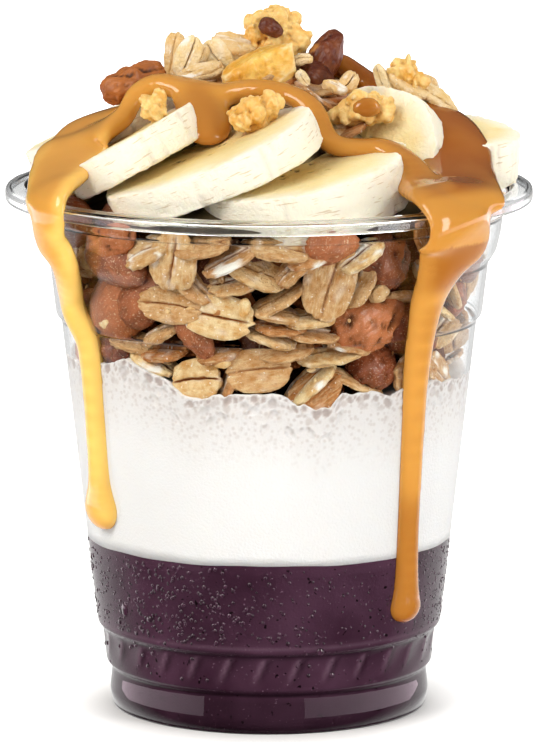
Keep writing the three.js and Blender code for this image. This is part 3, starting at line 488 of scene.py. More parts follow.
def peak(values, middle, width):
    """Bell curve that is 1 in the middle and falls off over the width."""
    return np.exp(-((values - middle) / width) ** 2)


def unit(vectors):
    return vectors / np.maximum(np.linalg.norm(vectors, axis=-1, keepdims=True), 1e-9)


def even_turns(count):
    """Angles of this many even steps round a circle."""
    return np.arange(count) * TURN / count


def round_axis(radius, angle, height):
    """Points round the Z axis."""
    points = np.broadcast_arrays(radius * np.cos(angle), radius * np.sin(angle), height)
    return np.stack(points, axis=-1)


def skin(rings, first, last):
    """Closed triangle surface over rings of equal length, ended by two single points."""
    count, sides = rings.shape[:2]
    points = np.concatenate([rings.reshape(-1, 3), [first, last]])
    here = np.arange(sides)
    ahead = np.roll(here, -1)
    start = np.arange(count - 1)[:, None] * sides
    a, b = (start + here).ravel(), (start + ahead).ravel()
    end = (count - 1) * sides
    faces = np.concatenate([
        np.stack([a, b, b + sides], 1),
        np.stack([a, b + sides, a + sides], 1),
        np.stack([np.full(sides, count * sides), ahead, here], 1),
        np.stack([np.full(sides, count * sides + 1), end + here, end + ahead], 1),
    ])
    corners = points[faces]
    volume = np.einsum("ij,ij->", corners[:, 0], np.cross(corners[:, 1], corners[:, 2]))
    return points, faces if volume > 0 else faces[:, ::-1]


def turned(outline, segments, shape=None):
    """Surface of an outline of radius and height turned about Z, its ends on the axis."""
    angle = even_turns(segments)
    radius = np.repeat(outline[1:-1, :1], segments, axis=1)
    height = np.repeat(outline[1:-1, 1:], segments, axis=1)
    if shape:
        radius, height = shape(radius, height, np.broadcast_to(angle, radius.shape))
    rings = round_axis(radius, angle, height)
    return skin(rings, (0, 0, outline[0, 1]), (0, 0, outline[-1, 1]))


def rounded(outline, reach, steps=4):
    """Outline with each inner corner eased into a curve that starts at most reach before it."""
    points = np.asarray(outline, float)
    eased = [points[0]]
    for before, corner, after in zip(points, points[1:], points[2:]):
        back, on = before - corner, after - corner
        start = corner + back * min(0.48, reach / np.linalg.norm(back))
        end = corner + on * min(0.48, reach / np.linalg.norm(on))
        for t in np.linspace(0, 1, steps):
            eased.append((1 - t) ** 2 * start + 2 * t * (1 - t) * corner + t * t * end)
    return np.array(eased + [points[-1]])


def rotation(turn_y, turn_z):
    """Turn about Y in degrees and then about Z, as a matrix for column vectors."""
    cy, sy = math.cos(math.radians(turn_y)), math.sin(math.radians(turn_y))
    cz, sz = math.cos(math.radians(turn_z)), math.sin(math.radians(turn_z))
    about_y = np.array([(cy, 0, sy), (0, 1, 0), (-sy, 0, cy)])
    about_z = np.array([(cz, -sz, 0), (sz, cz, 0), (0, 0, 1)])
    return about_z @ about_y


def axes_from(along, facing):
    """Rows: the long axis, the cross axis and the facing made square to the long axis."""
    along = unit(np.array(along, float))
    normal = np.array(facing, float)
    normal = unit(normal - along * (normal @ along))
    return np.stack([along, np.cross(normal, along), normal])


def slice_axes(facing):
    """Axes of a slice: along X as far as its facing allows, across, and its facing."""
    normal = unit(np.array(facing, float))
    along = unit(np.array([1.0, 0, 0]) - normal * normal[0])
    return np.stack([along, np.cross(normal, along), normal])


def joined(parts):
    """One set of points and faces, and of each further array, from many parts."""
    offsets = np.cumsum([0] + [len(part[0]) for part in parts])
    columns = list(zip(*parts))
    faces = np.concatenate([part + offset for part, offset in zip(columns[1], offsets)])
    return [np.concatenate(columns[0]), faces] + [np.concatenate(column) for column in columns[2:]]


def vertex_normals(points, faces):
    corners = points[faces]
    square = np.cross(corners[:, 1] - corners[:, 0], corners[:, 2] - corners[:, 0])
    normals = np.zeros_like(points)
    for corner in range(3):
        np.add.at(normals, faces[:, corner], square)
    return unit(normals)


def hollowness(points, faces, depth, passes):
    """How far each point lies under the smoothed surface, as a share of depth; above is negative."""
    smooth = points
    count = 2 * np.bincount(faces.ravel(), minlength=len(points))[:, None]
    for _ in range(passes):
        total = np.zeros_like(points)
        for a, b, c in ((0, 1, 2), (1, 2, 0), (2, 0, 1)):
            np.add.at(total, faces[:, a], smooth[faces[:, b]] + smooth[faces[:, c]])
        smooth = total / count
    under = np.sum((smooth - points) * vertex_normals(points, faces), axis=1)
    return np.clip(under / depth, -1, 1)


def make_mesh(name, points, faces):
    mesh = bpy.data.meshes.new(name)
    mesh.vertices.add(len(points))
    mesh.vertices.foreach_set("co", np.asarray(points, np.float32).ravel())
    mesh.loops.add(faces.size)
    mesh.loops.foreach_set("vertex_index", np.asarray(faces, np.int32).ravel())
    mesh.polygons.add(len(faces))
    mesh.polygons.foreach_set("loop_start", np.arange(len(faces), dtype=np.int32) * 3)
    mesh.update(calc_edges=True)
    mesh.shade_smooth()
    return mesh


def fused(parts, voxel, smoothing):
    """Points and triangles of the union of closed parts, remeshed at voxel mm and smoothed."""
    points, faces = joined(parts)
    scratch = bpy.data.objects.new("fusing", make_mesh("fusing", points, faces))
    bpy.context.scene.collection.objects.link(scratch)
    remesh = scratch.modifiers.new("Fuse", "REMESH")
    remesh.mode = "VOXEL"
    remesh.voxel_size = voxel
    ease = scratch.modifiers.new("Ease", "SMOOTH")
    ease.factor = 0.5
    ease.iterations = smoothing
    evaluated = scratch.evaluated_get(bpy.context.evaluated_depsgraph_get())
    mesh = evaluated.to_mesh()
    mesh.calc_loop_triangles()
    points = np.zeros(len(mesh.vertices) * 3, np.float32)
    mesh.vertices.foreach_get("co", points)
    faces = np.zeros(len(mesh.loop_triangles) * 3, np.int32)
    mesh.loop_triangles.foreach_get("vertices", faces)
    evaluated.to_mesh_clear()
    old = scratch.data
    bpy.data.objects.remove(scratch)
    bpy.data.meshes.remove(old)
    return points.reshape(-1, 3).astype(float), faces.reshape(-1, 3)


def add_piece(name, points, faces, material, slot, nodes=(), marks=None, local=None):
    """Links a mesh piece that rides on the cup, with marks and its own coordinates for its finish."""
    mesh = make_mesh(name, np.asarray(points) * MM, faces)
    for label, values in (("marks", marks), ("local", local)):
        if values is not None:
            attribute = mesh.attributes.new(label, "FLOAT_VECTOR", "POINT")
            attribute.data.foreach_set("vector", np.asarray(values, np.float32).ravel())
    mesh.materials.append(material)
    piece = bpy.data.objects.new(name, mesh)
    bpy.context.scene.collection.objects.link(piece)
    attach(piece, BODY)
    if nodes:
        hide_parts(*nodes)


# Materials

def add(tree, kind, links=(), **settings):
    """Adds a node, sets its properties and fills its inputs with values or other nodes' sockets."""
    node = tree.nodes.new(kind)
    for label, value in settings.items():
        setattr(node, label, value)
    for key, value in dict(links).items():
        if isinstance(value, bpy.types.NodeSocket):
            tree.links.new(value, node.inputs[key])
        else:
            node.inputs[key].default_value = value
    return node


def new_material(name):
    material = bpy.data.materials.new(name)
    material.use_nodes = True
    material.node_tree.nodes.clear()
    return material, material.node_tree


def finish_material(tree, shader):
    add(tree, "ShaderNodeOutputMaterial", {"Surface": shader})


def surfaced(material, settings):
    """The material, ended in one surface with these settings."""
    surface = add(material.node_tree, "ShaderNodeBsdfPrincipled", settings)
    finish_material(material.node_tree, surface.outputs["BSDF"])
    return material


def carried(tree, label):
    """Vector that the mesh carries under this name."""
    return add(tree, "ShaderNodeAttribute", attribute_name=label).outputs["Vector"]


def marks_of(tree):
    """The three marks that the mesh carries."""
    return add(tree, "ShaderNodeSeparateXYZ", {"Vector": carried(tree, "marks")}).outputs


def blend(tree, amount, first, second):
    """Colour that goes from the first to the second, each a hex colour, a setting or a socket."""
    first, second = (linear(end) if isinstance(end, str) else end for end in (first, second))
    links = {0: amount, 6: first, 7: second}
    return add(tree, "ShaderNodeMix", links, data_type="RGBA").outputs[2]


def spread(tree, value, low, high, top=1.0):
    """Value moved from 0 at low to top at high."""
    links = {"Value": value, "From Min": low, "From Max": high, "To Max": top}
    return add(tree, "ShaderNodeMapRange", links).outputs["Result"]


def spots(tree, vector, size_mm, low, high, detail=2.0, top=1.0):
    """Noise of a real size, spread from 0 at low to top at high."""
    links = {"Vector": vector, "Scale": 1 / (size_mm * MM), "Detail": detail}
    return spread(tree, add(tree, "ShaderNodeTexNoise", links).outputs["Fac"], low, high, top)


def combine(tree, operation, first, second):
    """Value worked out from two others."""
    return add(tree, "ShaderNodeMath", {0: first, 1: second}, operation=operation).outputs["Value"]


def stretched(tree, vector, scale):
    return add(tree, "ShaderNodeMapping", {"Vector": vector, "Scale": scale}).outputs["Vector"]


def bump(tree, height, depth_mm):
    links = {"Height": height, "Distance": depth_mm * MM}
    return add(tree, "ShaderNodeBump", links).outputs["Normal"]


def object_place(tree):
    return add(tree, "ShaderNodeTexCoord").outputs["Object"]


def clear_pet():
    """Thermoformed PET: thin glossy sheet that lamps shine through, greyer where seen edge on."""
    material, tree = new_material("clear_pet_thermoformed")
    tint = linear("#f8fafb")
    body = add(tree, "ShaderNodeBsdfPrincipled", {
        "Base Color": tint, "Roughness": 0.02, "IOR": 1.5, "Transmission Weight": 1.0,
    })
    through = add(tree, "ShaderNodeBsdfTransparent", {"Color": tint})
    path = add(tree, "ShaderNodeLightPath")
    mixed = add(tree, "ShaderNodeMixShader", {
        0: path.outputs["Is Shadow Ray"], 1: body.outputs["BSDF"], 2: through.outputs["BSDF"],
    })
    finish_material(tree, mixed.outputs["Shader"])
    return material


def water_bead():
    """Condensed water: glossy domes in the puree's colours, each with a point of light."""
    material, tree = new_material("condensed_water_bead")
    tint = spots(tree, object_place(tree), 3, 0.35, 0.65, 2)
    shade = blend(tree, tint, "#2b1622", "#4a3040")
    return surfaced(material, {
        "Base Color": shade, "Roughness": 0.05, "IOR": 1.5, "Coat Weight": 1.0, "Coat Roughness": 0.02,
    })


def acai_puree(colour):
    """Blended frozen acai: dense dark purple puree with pulp specks, pressed flat by the wall.

    It wets the wall, so hardly any light is mirrored where they meet. Painted highlights lighten the
    flutes' ridges, and painted shade darkens their grooves, the ledges and the foot.
    """
    material, tree = new_material("acai_puree_blended")
    place = object_place(tree)
    cloud = spots(tree, place, 14, 0.35, 0.68, 3)
    shade = blend(tree, cloud, colour, "#543648")
    shade = blend(tree, spots(tree, place, 1.1, 0.7, 0.73, 1), shade, "#12070d")
    shade = blend(tree, spots(tree, place, 0.5, 0.72, 0.76, 1), shade, "#7d6070")
    # Painted highlights on the flutes' ridges; painted shade in their grooves, under the ledges and at
    # the foot
    ridge_highlight, groove_shade, _ = marks_of(tree)
    shade = blend(tree, ridge_highlight, shade, "#7d5f70")
    shade = blend(tree, groove_shade, shade, "#1c0c15")
    grain = spots(tree, place, 0.5, 0.2, 0.8, 3)
    return surfaced(material, {
        "Base Color": shade, "Roughness": 0.5, "IOR": 1.38, "Specular IOR Level": 0.05,
        "Normal": bump(tree, grain, 0.04),
    })


def whipped_cream(colour, bubble_shade):
    """Aerated cream: soft white that scatters light, its bubbles painted a little greyer than the foam
    as shade in their hollows.
    """
    material, tree = new_material("aerated_cream")
    place = object_place(tree)
    hollow_shade, foamy, froth = marks_of(tree)
    cloud = spots(tree, place, 7, 0.35, 0.7, 3, 0.5)
    shade = blend(tree, cloud, colour, "#eae8e7")
    shade = blend(tree, foamy, shade, "#ded9d6")
    # Painted shade in the hollows of the bubbles
    for size_mm, mask in ((1.0, foamy), (2.1, froth)):
        links = {"Vector": place, "Scale": 1 / (size_mm * MM)}
        distance = add(tree, "ShaderNodeTexVoronoi", links).outputs["Distance"]
        shade = blend(tree, spread(tree, distance, 0.44, 0.24, mask), shade, bubble_shade)
    # Painted shade in the dents of the bubbles at the wall
    shade = blend(tree, hollow_shade, shade, "#b6a9a3")
    fine = spots(tree, place, 0.45, 0.3, 0.75, 2)
    return surfaced(material, {
        "Base Color": shade, "Roughness": 0.5, "IOR": 1.4, "Specular IOR Level": 0.1,
        "Subsurface Weight": 0.3, "Subsurface Radius": (0.002, 0.0017, 0.0014),
        "Normal": bump(tree, fine, 0.05),
    })


def banana_flesh(face, rim, side, centre):
    """Cut banana: moist pale flesh, yellower towards its core, with fibres, dark seeds and painted
    shade in the side's creases.
    """
    material, tree = new_material("banana_flesh_cut")
    local = carried(tree, "local")
    cut, radial, seed = marks_of(tree)
    mottle = spots(tree, local, 3.0, 0.3, 0.7, 3)
    shade = blend(tree, spread(tree, radial, 0.62, 0.1), face, centre)
    shade = blend(tree, spread(tree, radial, 0.72, 0.97), shade, rim)
    shade = blend(tree, spots(tree, local, 5.0, 0.5, 0.75, 3, 0.5), shade, "#efd486")
    outer = blend(tree, mottle, side, rim)
    long_marks = stretched(tree, local, (0.3, 0.3, 2.6))
    outer = blend(tree, spots(tree, long_marks, 0.9, 0.64, 0.71, 1, 0.6), outer, "#cfb484")
    shade = blend(tree, cut, outer, shade)
    # The seed mark also carries painted shade in the side's creases
    shade = blend(tree, seed, shade, "#4a2f1a")
    fibre = spots(tree, local, 0.6, 0.25, 0.75, 3)
    return surfaced(material, {
        "Base Color": shade, "Roughness": 0.42, "IOR": 1.4, "Subsurface Weight": 0.25,
        "Subsurface Radius": (0.003, 0.002, 0.0009), "Normal": bump(tree, fibre, 0.14),
    })


def caramel_sauce(light, deep):
    """Boiled sugar and cream: thick golden sauce, wet and glossy, browner where it lies thick and
    where painted shade falls, paler yellow where painted light shines through.
    """
    material, tree = new_material("caramel_sauce_poured")
    place = object_place(tree)
    depth = marks_of(tree)[0]
    shade = blend(tree, depth, light, deep)
    # Painted light: a paler yellow where the mark falls below zero, on the lit drips and streams
    shade = blend(tree, spread(tree, depth, 0.0, -0.4), shade, "#fbd06f")
    shade = blend(tree, spots(tree, place, 11, 0.45, 0.75, 2, 0.25), shade, "#c58435")
    return surfaced(material, {
        "Base Color": shade, "Roughness": 0.16, "IOR": 1.46, "Specular IOR Level": 0.2,
        "Subsurface Weight": 0.3,
        "Subsurface Radius": (0.003, 0.0016, 0.0006), "Coat Weight": 1.0, "Coat Roughness": 0.05,
    })


def rolled_oat(name, pale, toasted, rich_pale, rich_toasted):
    """Rolled and baked oats: matt flakes, browner where they toasted, floury where they cracked, with
    painted shade in their creases and on pieces that lie deeper.
    """
    material, tree = new_material(name)
    local = carried(tree, "local")
    tone, dark, flour = marks_of(tree)
    shade = blend(tree, tone, pale, toasted)
    rich = blend(tree, tone, rich_pale, rich_toasted)
    shade = blend(tree, spots(tree, local, 1.5, 0.36, 0.7, 3, 0.9), shade, rich)
    streaks = spots(tree, stretched(tree, local, (0.22, 1.3, 1.0)), 0.5, 0.5, 0.75, 2, 0.45)
    shade = blend(tree, streaks, shade, "#f0dcae")
    shade = blend(tree, flour, shade, "#fdf7ea")
    shade = blend(tree, spots(tree, local, 0.55, 0.69, 0.74, 1, 0.8), shade, "#fbf3e2")
    # Painted shade: the dark mark browns and then blackens creases and pieces that lie deeper, with
    # the rims' toasting
    shade = blend(tree, spread(tree, dark, 0.1, 0.5), shade, "#824519")
    shade = blend(tree, spread(tree, dark, 0.5, 1.0), shade, "#240e06")
    grain = spots(tree, local, 0.5, 0.25, 0.75, 3)
    return surfaced(material, {
        "Base Color": shade, "Roughness": 0.55, "IOR": 1.45, "Specular IOR Level": 0.15,
        "Normal": bump(tree, grain, 0.25),
    })


def nut_skin(name, light, dark, roughness, wrinkle_mm, specks=0.0):
    """Roasted nut or dried fruit: brown and finely wrinkled, with a soft shine of oil and painted
    shade in its folds.
    """
    material, tree = new_material(name)
    local = carried(tree, "local")
    tone, groove_shade, cut = marks_of(tree)
    shade = blend(tree, tone, light, dark)
    rich = blend(tree, tone, "#b26a38", "#4b2014")
    shade = blend(tree, spots(tree, local, 1.6, 0.35, 0.75, 3, 0.8), shade, rich)
    shade = blend(tree, cut, shade, "#c98a4a")
    shade = blend(tree, groove_shade, shade, "#2c120b")
    if specks:
        shade = blend(tree, spots(tree, local, 0.32, 0.63, 0.69, 1, specks), shade, "#e6c8a0")
    wrinkles = spots(tree, stretched(tree, local, (0.35, 1, 1)), wrinkle_mm, 0.2, 0.8, 4)
    return surfaced(material, {
        "Base Color": shade, "Roughness": roughness, "IOR": 1.46,
        "Normal": bump(tree, wrinkles, 0.3),
    })


def toasted_crumb(name, light, rich, deep, shine=0.5):
    """Oat crumb baked with honey: rough golden nodules, with painted shade in their hollows and
    painted highlights on their ridges.
    """
    material, tree = new_material(name)
    place = object_place(tree)
    tone, hollow_shade, ridge_highlight = marks_of(tree)
    shade = blend(tree, tone, light, rich)
    shade = blend(tree, spots(tree, place, 1.1, 0.42, 0.75, 3, 0.7), shade, rich)
    shade = blend(tree, hollow_shade, shade, deep)
    shade = blend(tree, ridge_highlight, shade, "#fbe6ad")
    grain = spots(tree, place, 0.35, 0.25, 0.75, 3)
    return surfaced(material, {
        "Base Color": shade, "Roughness": 0.34, "IOR": 1.46, "Specular IOR Level": shine,
        "Subsurface Weight": 0.2, "Subsurface Radius": (0.0016, 0.0009, 0.0004),
        "Normal": bump(tree, grain, 0.1),
    })


def paper_sweep():
    """Matt white paper that glows, less near the cup so that its contact shadow shows; it isn't
    mirrored.
    """
    material, tree = new_material("white_paper_sweep")
    tooth = spots(tree, object_place(tree), 1.5, 0.2, 0.8, 2)
    shade = blend(tree, tooth, "#ffffff", "#fdfdfd")
    paper = add(tree, "ShaderNodeBsdfPrincipled", {"Base Color": shade, "Roughness": 0.9})
    reach = add(tree, "ShaderNodeVectorMath", {0: object_place(tree)}, operation="LENGTH")
    near = spread(tree, reach.outputs["Value"], *SHADOW_REACH, SHADOW_WASH)
    far = spread(tree, reach.outputs["Value"], *FAR_REACH)
    wash = combine(tree, "MAXIMUM", near, far)
    glow = add(tree, "ShaderNodeEmission", {"Strength": wash})
    both = add(tree, "ShaderNodeAddShader", {0: paper.outputs["BSDF"], 1: glow.outputs["Emission"]})
    unseen = add(tree, "ShaderNodeBsdfTransparent")
    path = add(tree, "ShaderNodeLightPath")
    shown = add(tree, "ShaderNodeMixShader", {
        0: path.outputs["Glossy Depth"], 1: both.outputs["Shader"], 2: unseen.outputs["BSDF"],
    })
    finish_material(tree, shown.outputs["Shader"])
    return material


def lit_card(strength):
    """Glowing white card, seen only mirrored, brighter behind the cup than beside the camera."""
    material, tree = new_material("white_card_glowing")
    depth = add(tree, "ShaderNodeSeparateXYZ", {"Vector": object_place(tree)}).outputs["Y"]
    fade = spread(tree, depth, *CARD_FADE, strength)
    glow = add(tree, "ShaderNodeEmission", {"Color": linear("#f3e0ea"), "Strength": fade})
    finish_material(tree, glow.outputs["Emission"])
    return material


# Cup and layers

def wall_radius(height):
    return np.interp(height, WALL_OUTLINE[:, 1], WALL_OUTLINE[:, 0])


def flute_place(angle, height, cup):
    """Share of the way across a slanted scallop of the band, and how fully it is cut there."""
    rise = np.clip((height - BAND_LOW) / (BAND_HIGH - BAND_LOW), 0, 1)
    share = ((angle - FLUTE_LEAN * rise) / TURN * cup.flute_count) % 1
    return share, smooth_step(rise, *FLUTE_STARTS) * (1 - smooth_step(rise, *FLUTE_ENDS))


def flute_depth(angle, height, cup):
    share, run = flute_place(angle, height, cup)
    return cup.flute_depth / MM * 4 * share * (1 - share) * run


def wall_levels(top):
    """Points of the wall's outside up to a height, its corners eased and its band finely cut."""
    eased = rounded(WALL_OUTLINE, CORNER_REACH)
    band = np.stack([wall_radius(BAND_CUTS), BAND_CUTS], axis=1)
    levels = np.concatenate([eased, band])
    levels = levels[np.argsort(levels[:, 1], kind="stable")]
    return levels[levels[:, 1] <= top]


def cup_outline():
    """Closed section of the tumbler from the middle of its underside round the lip to its floor."""
    outer = wall_levels(CUP_HEIGHT - LIP_DEPTH)
    inner = outer[::-1] - (WALL, 0)
    inner = inner[inner[:, 1] > WALL]
    neck, low = outer[-1]
    flange = CUP_HEIGHT - SKIRT
    lip = rounded([
        (neck, low), (neck, flange), (RIM_RADIUS - SKIRT, flange),
        (RIM_RADIUS - SKIRT, low + SKIRT_RISE), (RIM_RADIUS - SKIRT_BEVEL, low),
        (RIM_RADIUS, low + SKIRT_BEVEL), (RIM_RADIUS, CUP_HEIGHT - LIP_BEVEL),
        (RIM_RADIUS - LIP_BEVEL, CUP_HEIGHT), (neck + MOUTH_BEVEL[0], CUP_HEIGHT),
        (neck - WALL, CUP_HEIGHT - MOUTH_BEVEL[1]), (neck - WALL, low),
    ], LIP_EASE)
    under = rounded([
        (0, FLOOR_LIFT), (FLOOR_RADIUS, FLOOR_LIFT), (FOOT_INSIDE_RADIUS, 0), (FOOT_RADIUS, 0),
    ], FOOT_EASE)
    floor = rounded([
        (FOOT_RADIUS - WALL, WALL), (FOOT_INSIDE_RADIUS + WALL, WALL),
        (FLOOR_RADIUS + WALL, FLOOR_LIFT + WALL), (0, FLOOR_LIFT + WALL),
    ], FOOT_EASE)
    return np.concatenate([under[:-1], outer, lip[1:-1], inner, floor])


def build_cup(cup):
    def fluted(radius, height, angle):
        return radius - flute_depth(angle, height, cup), height

    points, faces = turned(cup_outline(), cup.segments, fluted)
    add_piece("clear_tumbler", points, faces, clear_pet(), "clear_plastic", ["cup"])


def wall_axes(degrees):
    """Outward and sideways directions of the wall at degrees to the right of the front."""
    turn = math.radians(degrees - 90)
    outward = np.array([math.cos(turn), math.sin(turn), 0])
    return outward, np.array([-math.sin(turn), math.cos(turn), 0])


def wall_bead(degrees, height, half_width, half_height, sides=7):
    """A dome of water on the outside of the wall, its foot sunk in the wall."""
    outward, side = wall_axes(degrees)
    angle = even_turns(sides)
    dome = BEAD_SECTION[:, :, None, None]
    base = outward * wall_radius(height) + UP * height
    flat = np.cos(angle)[:, None] * side * half_width + np.sin(angle)[:, None] * UP * half_height
    rings = base + dome[:, 0] * flat + half_width * dome[:, 1] * outward
    foot = base - outward * half_width * BEAD_FOOT
    return skin(rings, foot, base + outward * half_width * BEAD_CROWN)


def build_beads(settings):
    """Condensation on the wall round the cold acai: fine beads with a few drops that ran together."""
    random = np.random.default_rng(settings.seed)
    parts = [wall_bead(*drop, DROP_SIDES) for drop in DROPS]
    while len(parts) < settings.count:
        degrees = random.uniform(-180, 180)
        height = random.uniform(BAND_LOW, ACAI_TOP - BEAD_MARGIN)
        crowd = np.interp(degrees, *BEAD_CROWD.T)
        if height < BAND_HIGH + BARE_RISE:
            crowd *= BARE_SHARE
        if random.random() > crowd:
            continue
        size = BEAD_LEAST + BEAD_SPREAD * random.random() ** BEAD_BIAS
        if degrees >= FINE_FROM:
            size *= FINE_SHARE
        parts.append(wall_bead(degrees, height, size, size * random.uniform(*BEAD_STRETCH)))
    points, faces = joined(parts)
    add_piece("condensation_beads", points, faces, water_bead(), "acai_puree")


def acai_edge(angle):
    """Height of the boundary between acai and cream round the wall."""
    return ACAI_TOP + sum(rise * np.sin(count * angle + phase) for rise, count, phase in ACAI_WAVES)


def build_acai(layers, cup):
    """Acai that fills the cup to just inside the wall's outer face, so no gap shows."""
    side = wall_levels(ACAI_TOP - 1)
    side = side[side[:, 1] > FILM]
    heights = np.arange(PLAIN_FROM, ACAI_TOP - 1, PLAIN_STEP)
    upper = np.stack([wall_radius(heights), heights], axis=1)
    side = np.concatenate([side[side[:, 1] < PLAIN_FROM - 0.5], upper]) - (FILM, 0)
    top = wall_radius(ACAI_TOP) - FILM
    under = FLOOR_LIFT + FILM
    outline = np.concatenate([
        [(0, under), (FLOOR_RADIUS, under), (FOOT_INSIDE_RADIUS, FILM), (side[0, 0] - FILM, FILM)],
        side,
        [(top, ACAI_TOP), (top - 2, ACAI_TOP), (top * 0.5, ACAI_TOP), (0, ACAI_TOP)],
    ])

    def fluted(radius, height, angle):
        level = np.where(height >= ACAI_TOP - 1e-6, acai_edge(angle), height)
        return radius - flute_depth(angle, height, cup), level

    points, faces = turned(outline, cup.segments, fluted)
    angle = np.arctan2(points[:, 1], points[:, 0])
    share, run = flute_place(angle, points[:, 2], cup)
    # Painted highlights on the flutes' ridges and the brow; painted shade in the grooves, under the
    # ledge and the step, and darker towards the foot
    ridge_highlight = peak(np.minimum(share, 1 - share), 0, RIDGE_WIDTH) * run * RIDGE_HIGHLIGHT
    groove_shade = peak(share, GROOVE_PLACE, GROOVE_WIDTH) * run * GROOVE_SHADE
    ledge_shade = LEDGE_SHADE * peak(points[:, 2], BAND_HIGH, LEDGE_WIDTH)
    step = STEP_SHADE * peak(points[:, 2], FOOT_STEP, STEP_WIDTH)
    brow_highlight = BROW_HIGHLIGHT * peak(points[:, 2], BROW, BROW_WIDTH)
    outside = np.hypot(points[:, 0], points[:, 1]) > FLOOR_RADIUS + 2
    foot = FOOT_SHADE * (1 - smooth_step(points[:, 2], *FOOT_SHADE_FADE))
    dark = np.maximum.reduce([groove_shade, ledge_shade, step, foot]) * outside
    marks = np.stack([np.maximum(ridge_highlight, brow_highlight) * outside, dark, dark * 0], axis=1)
    finish = acai_puree(layers.acai_colour)
    add_piece("acai_layer", points, faces, finish, "acai_puree", ["acai"], marks)


def cream_top(angle):
    """Height of the foam's uneven upper edge round the wall."""
    degrees = (np.degrees(angle) + 270) % 360 - 180
    ring = round_axis(wall_radius(CREAM_TOP), angle, 0).reshape(-1, 3)
    bulges = [rise * np.abs(lumps(ring + shift, size)) for rise, size, shift in FOAM_BULGES]
    relief = (sum(bulges) - FOAM_SUNK).reshape(np.shape(angle))
    return np.interp(degrees, *CREAM_EDGE.T) + relief


def scatter_bubbles(random, count):
    """Places on the unrolled wall (arc in mm, depth under the top, radius), none overlapping."""
    girth = TURN * wall_radius(CREAM_TOP)
    kept = np.zeros((0, 3))
    for size in np.sort(BUBBLE_LEAST + BUBBLE_SPREAD * random.random(count) ** 3)[::-1]:
        depth = BUBBLE_COVER + BUBBLE_SINK * size + random.random() ** 3 * FOAM_DEPTH * BUBBLE_REACH
        spot = np.array([random.uniform(0, girth), depth])
        gap = np.hypot(*(kept[:, :2] - spot).T) - kept[:, 2] - size
        if not len(kept) or gap.min() > BUBBLE_GAP:
            kept = np.vstack([kept, [*spot, size]])
    return kept


def build_cream(layers):
    """Cream against the wall: bubbles dented into it with painted shade in the dents, thick at the top
    and gone lower down.
    """
    angle = even_turns(CREAM_COLUMNS)
    low, high = acai_edge(angle), cream_top(angle)
    foot = high - FOAM_DEPTH
    plain = low + (foot - low) * np.linspace(0, 1, PLAIN_ROWS, endpoint=False)[:, None]
    foam = foot + FOAM_DEPTH * np.linspace(0, 1, FOAM_ROWS)[:, None]
    height = np.concatenate([plain, foam])
    dent, hollow_shade = np.zeros_like(height), np.zeros_like(height)
    arc = angle * wall_radius(CREAM_TOP)
    girth = arc[-1] + arc[1]
    under = high - height
    for place, depth, size in scatter_bubbles(np.random.default_rng(layers.seed), layers.bubbles):
        across = (arc - place + girth / 2) % girth - girth / 2
        near = np.flatnonzero(np.abs(across) < size)
        if not len(near):
            continue
        window = np.ix_(np.flatnonzero(np.abs(under[:, near[0]] - depth) < size), near)
        distance = np.hypot(across[near], under[window] - depth) / size
        cap = np.sqrt(np.clip(1 - distance ** 2, 0, None))
        # Painted shade in each dent, strongest near the foam's top
        fade = PIT_SHADE - PIT_FADE * smooth_step(depth, *PIT_DEPTHS)
        dent[window] = np.maximum(dent[window], cap * size * BUBBLE_DENT)
        hollow_shade[window] = np.maximum(hollow_shade[window], np.clip(cap * PIT_CONTRAST, 0, 1) * fade)
    radius = wall_radius(height) - FILM - dent
    rings = round_axis(radius, angle, height)
    flat = wall_radius(CREAM_TOP)
    inner = [round_axis(flat * reach, angle, high - fall) for reach, fall in FOAM_FLOOR]
    rings = np.concatenate([rings, inner])
    marks = np.zeros((*rings.shape[:2], 3))
    marks[:len(hollow_shade), :, 0] = hollow_shade
    marks[:len(hollow_shade), :, 1] = FOAM_TINT * (1 - smooth_step(under, *FOAM_FADE))
    marks[:len(hollow_shade), :, 2] = FROTH_TINT * (1 - smooth_step(under, *FROTH_FADE))
    points, faces = skin(rings, (0, 0, ACAI_TOP), (0, 0, CREAM_TOP - FOAM_FLOOR[-1][1]))
    marks = np.concatenate([marks.reshape(-1, 3), np.zeros((2, 3))])
    finish = whipped_cream(layers.cream_colour, layers.bubble_colour)
    add_piece("cream_layer", points, faces, finish, "cream_foam", ["cream"], marks)


# Granola

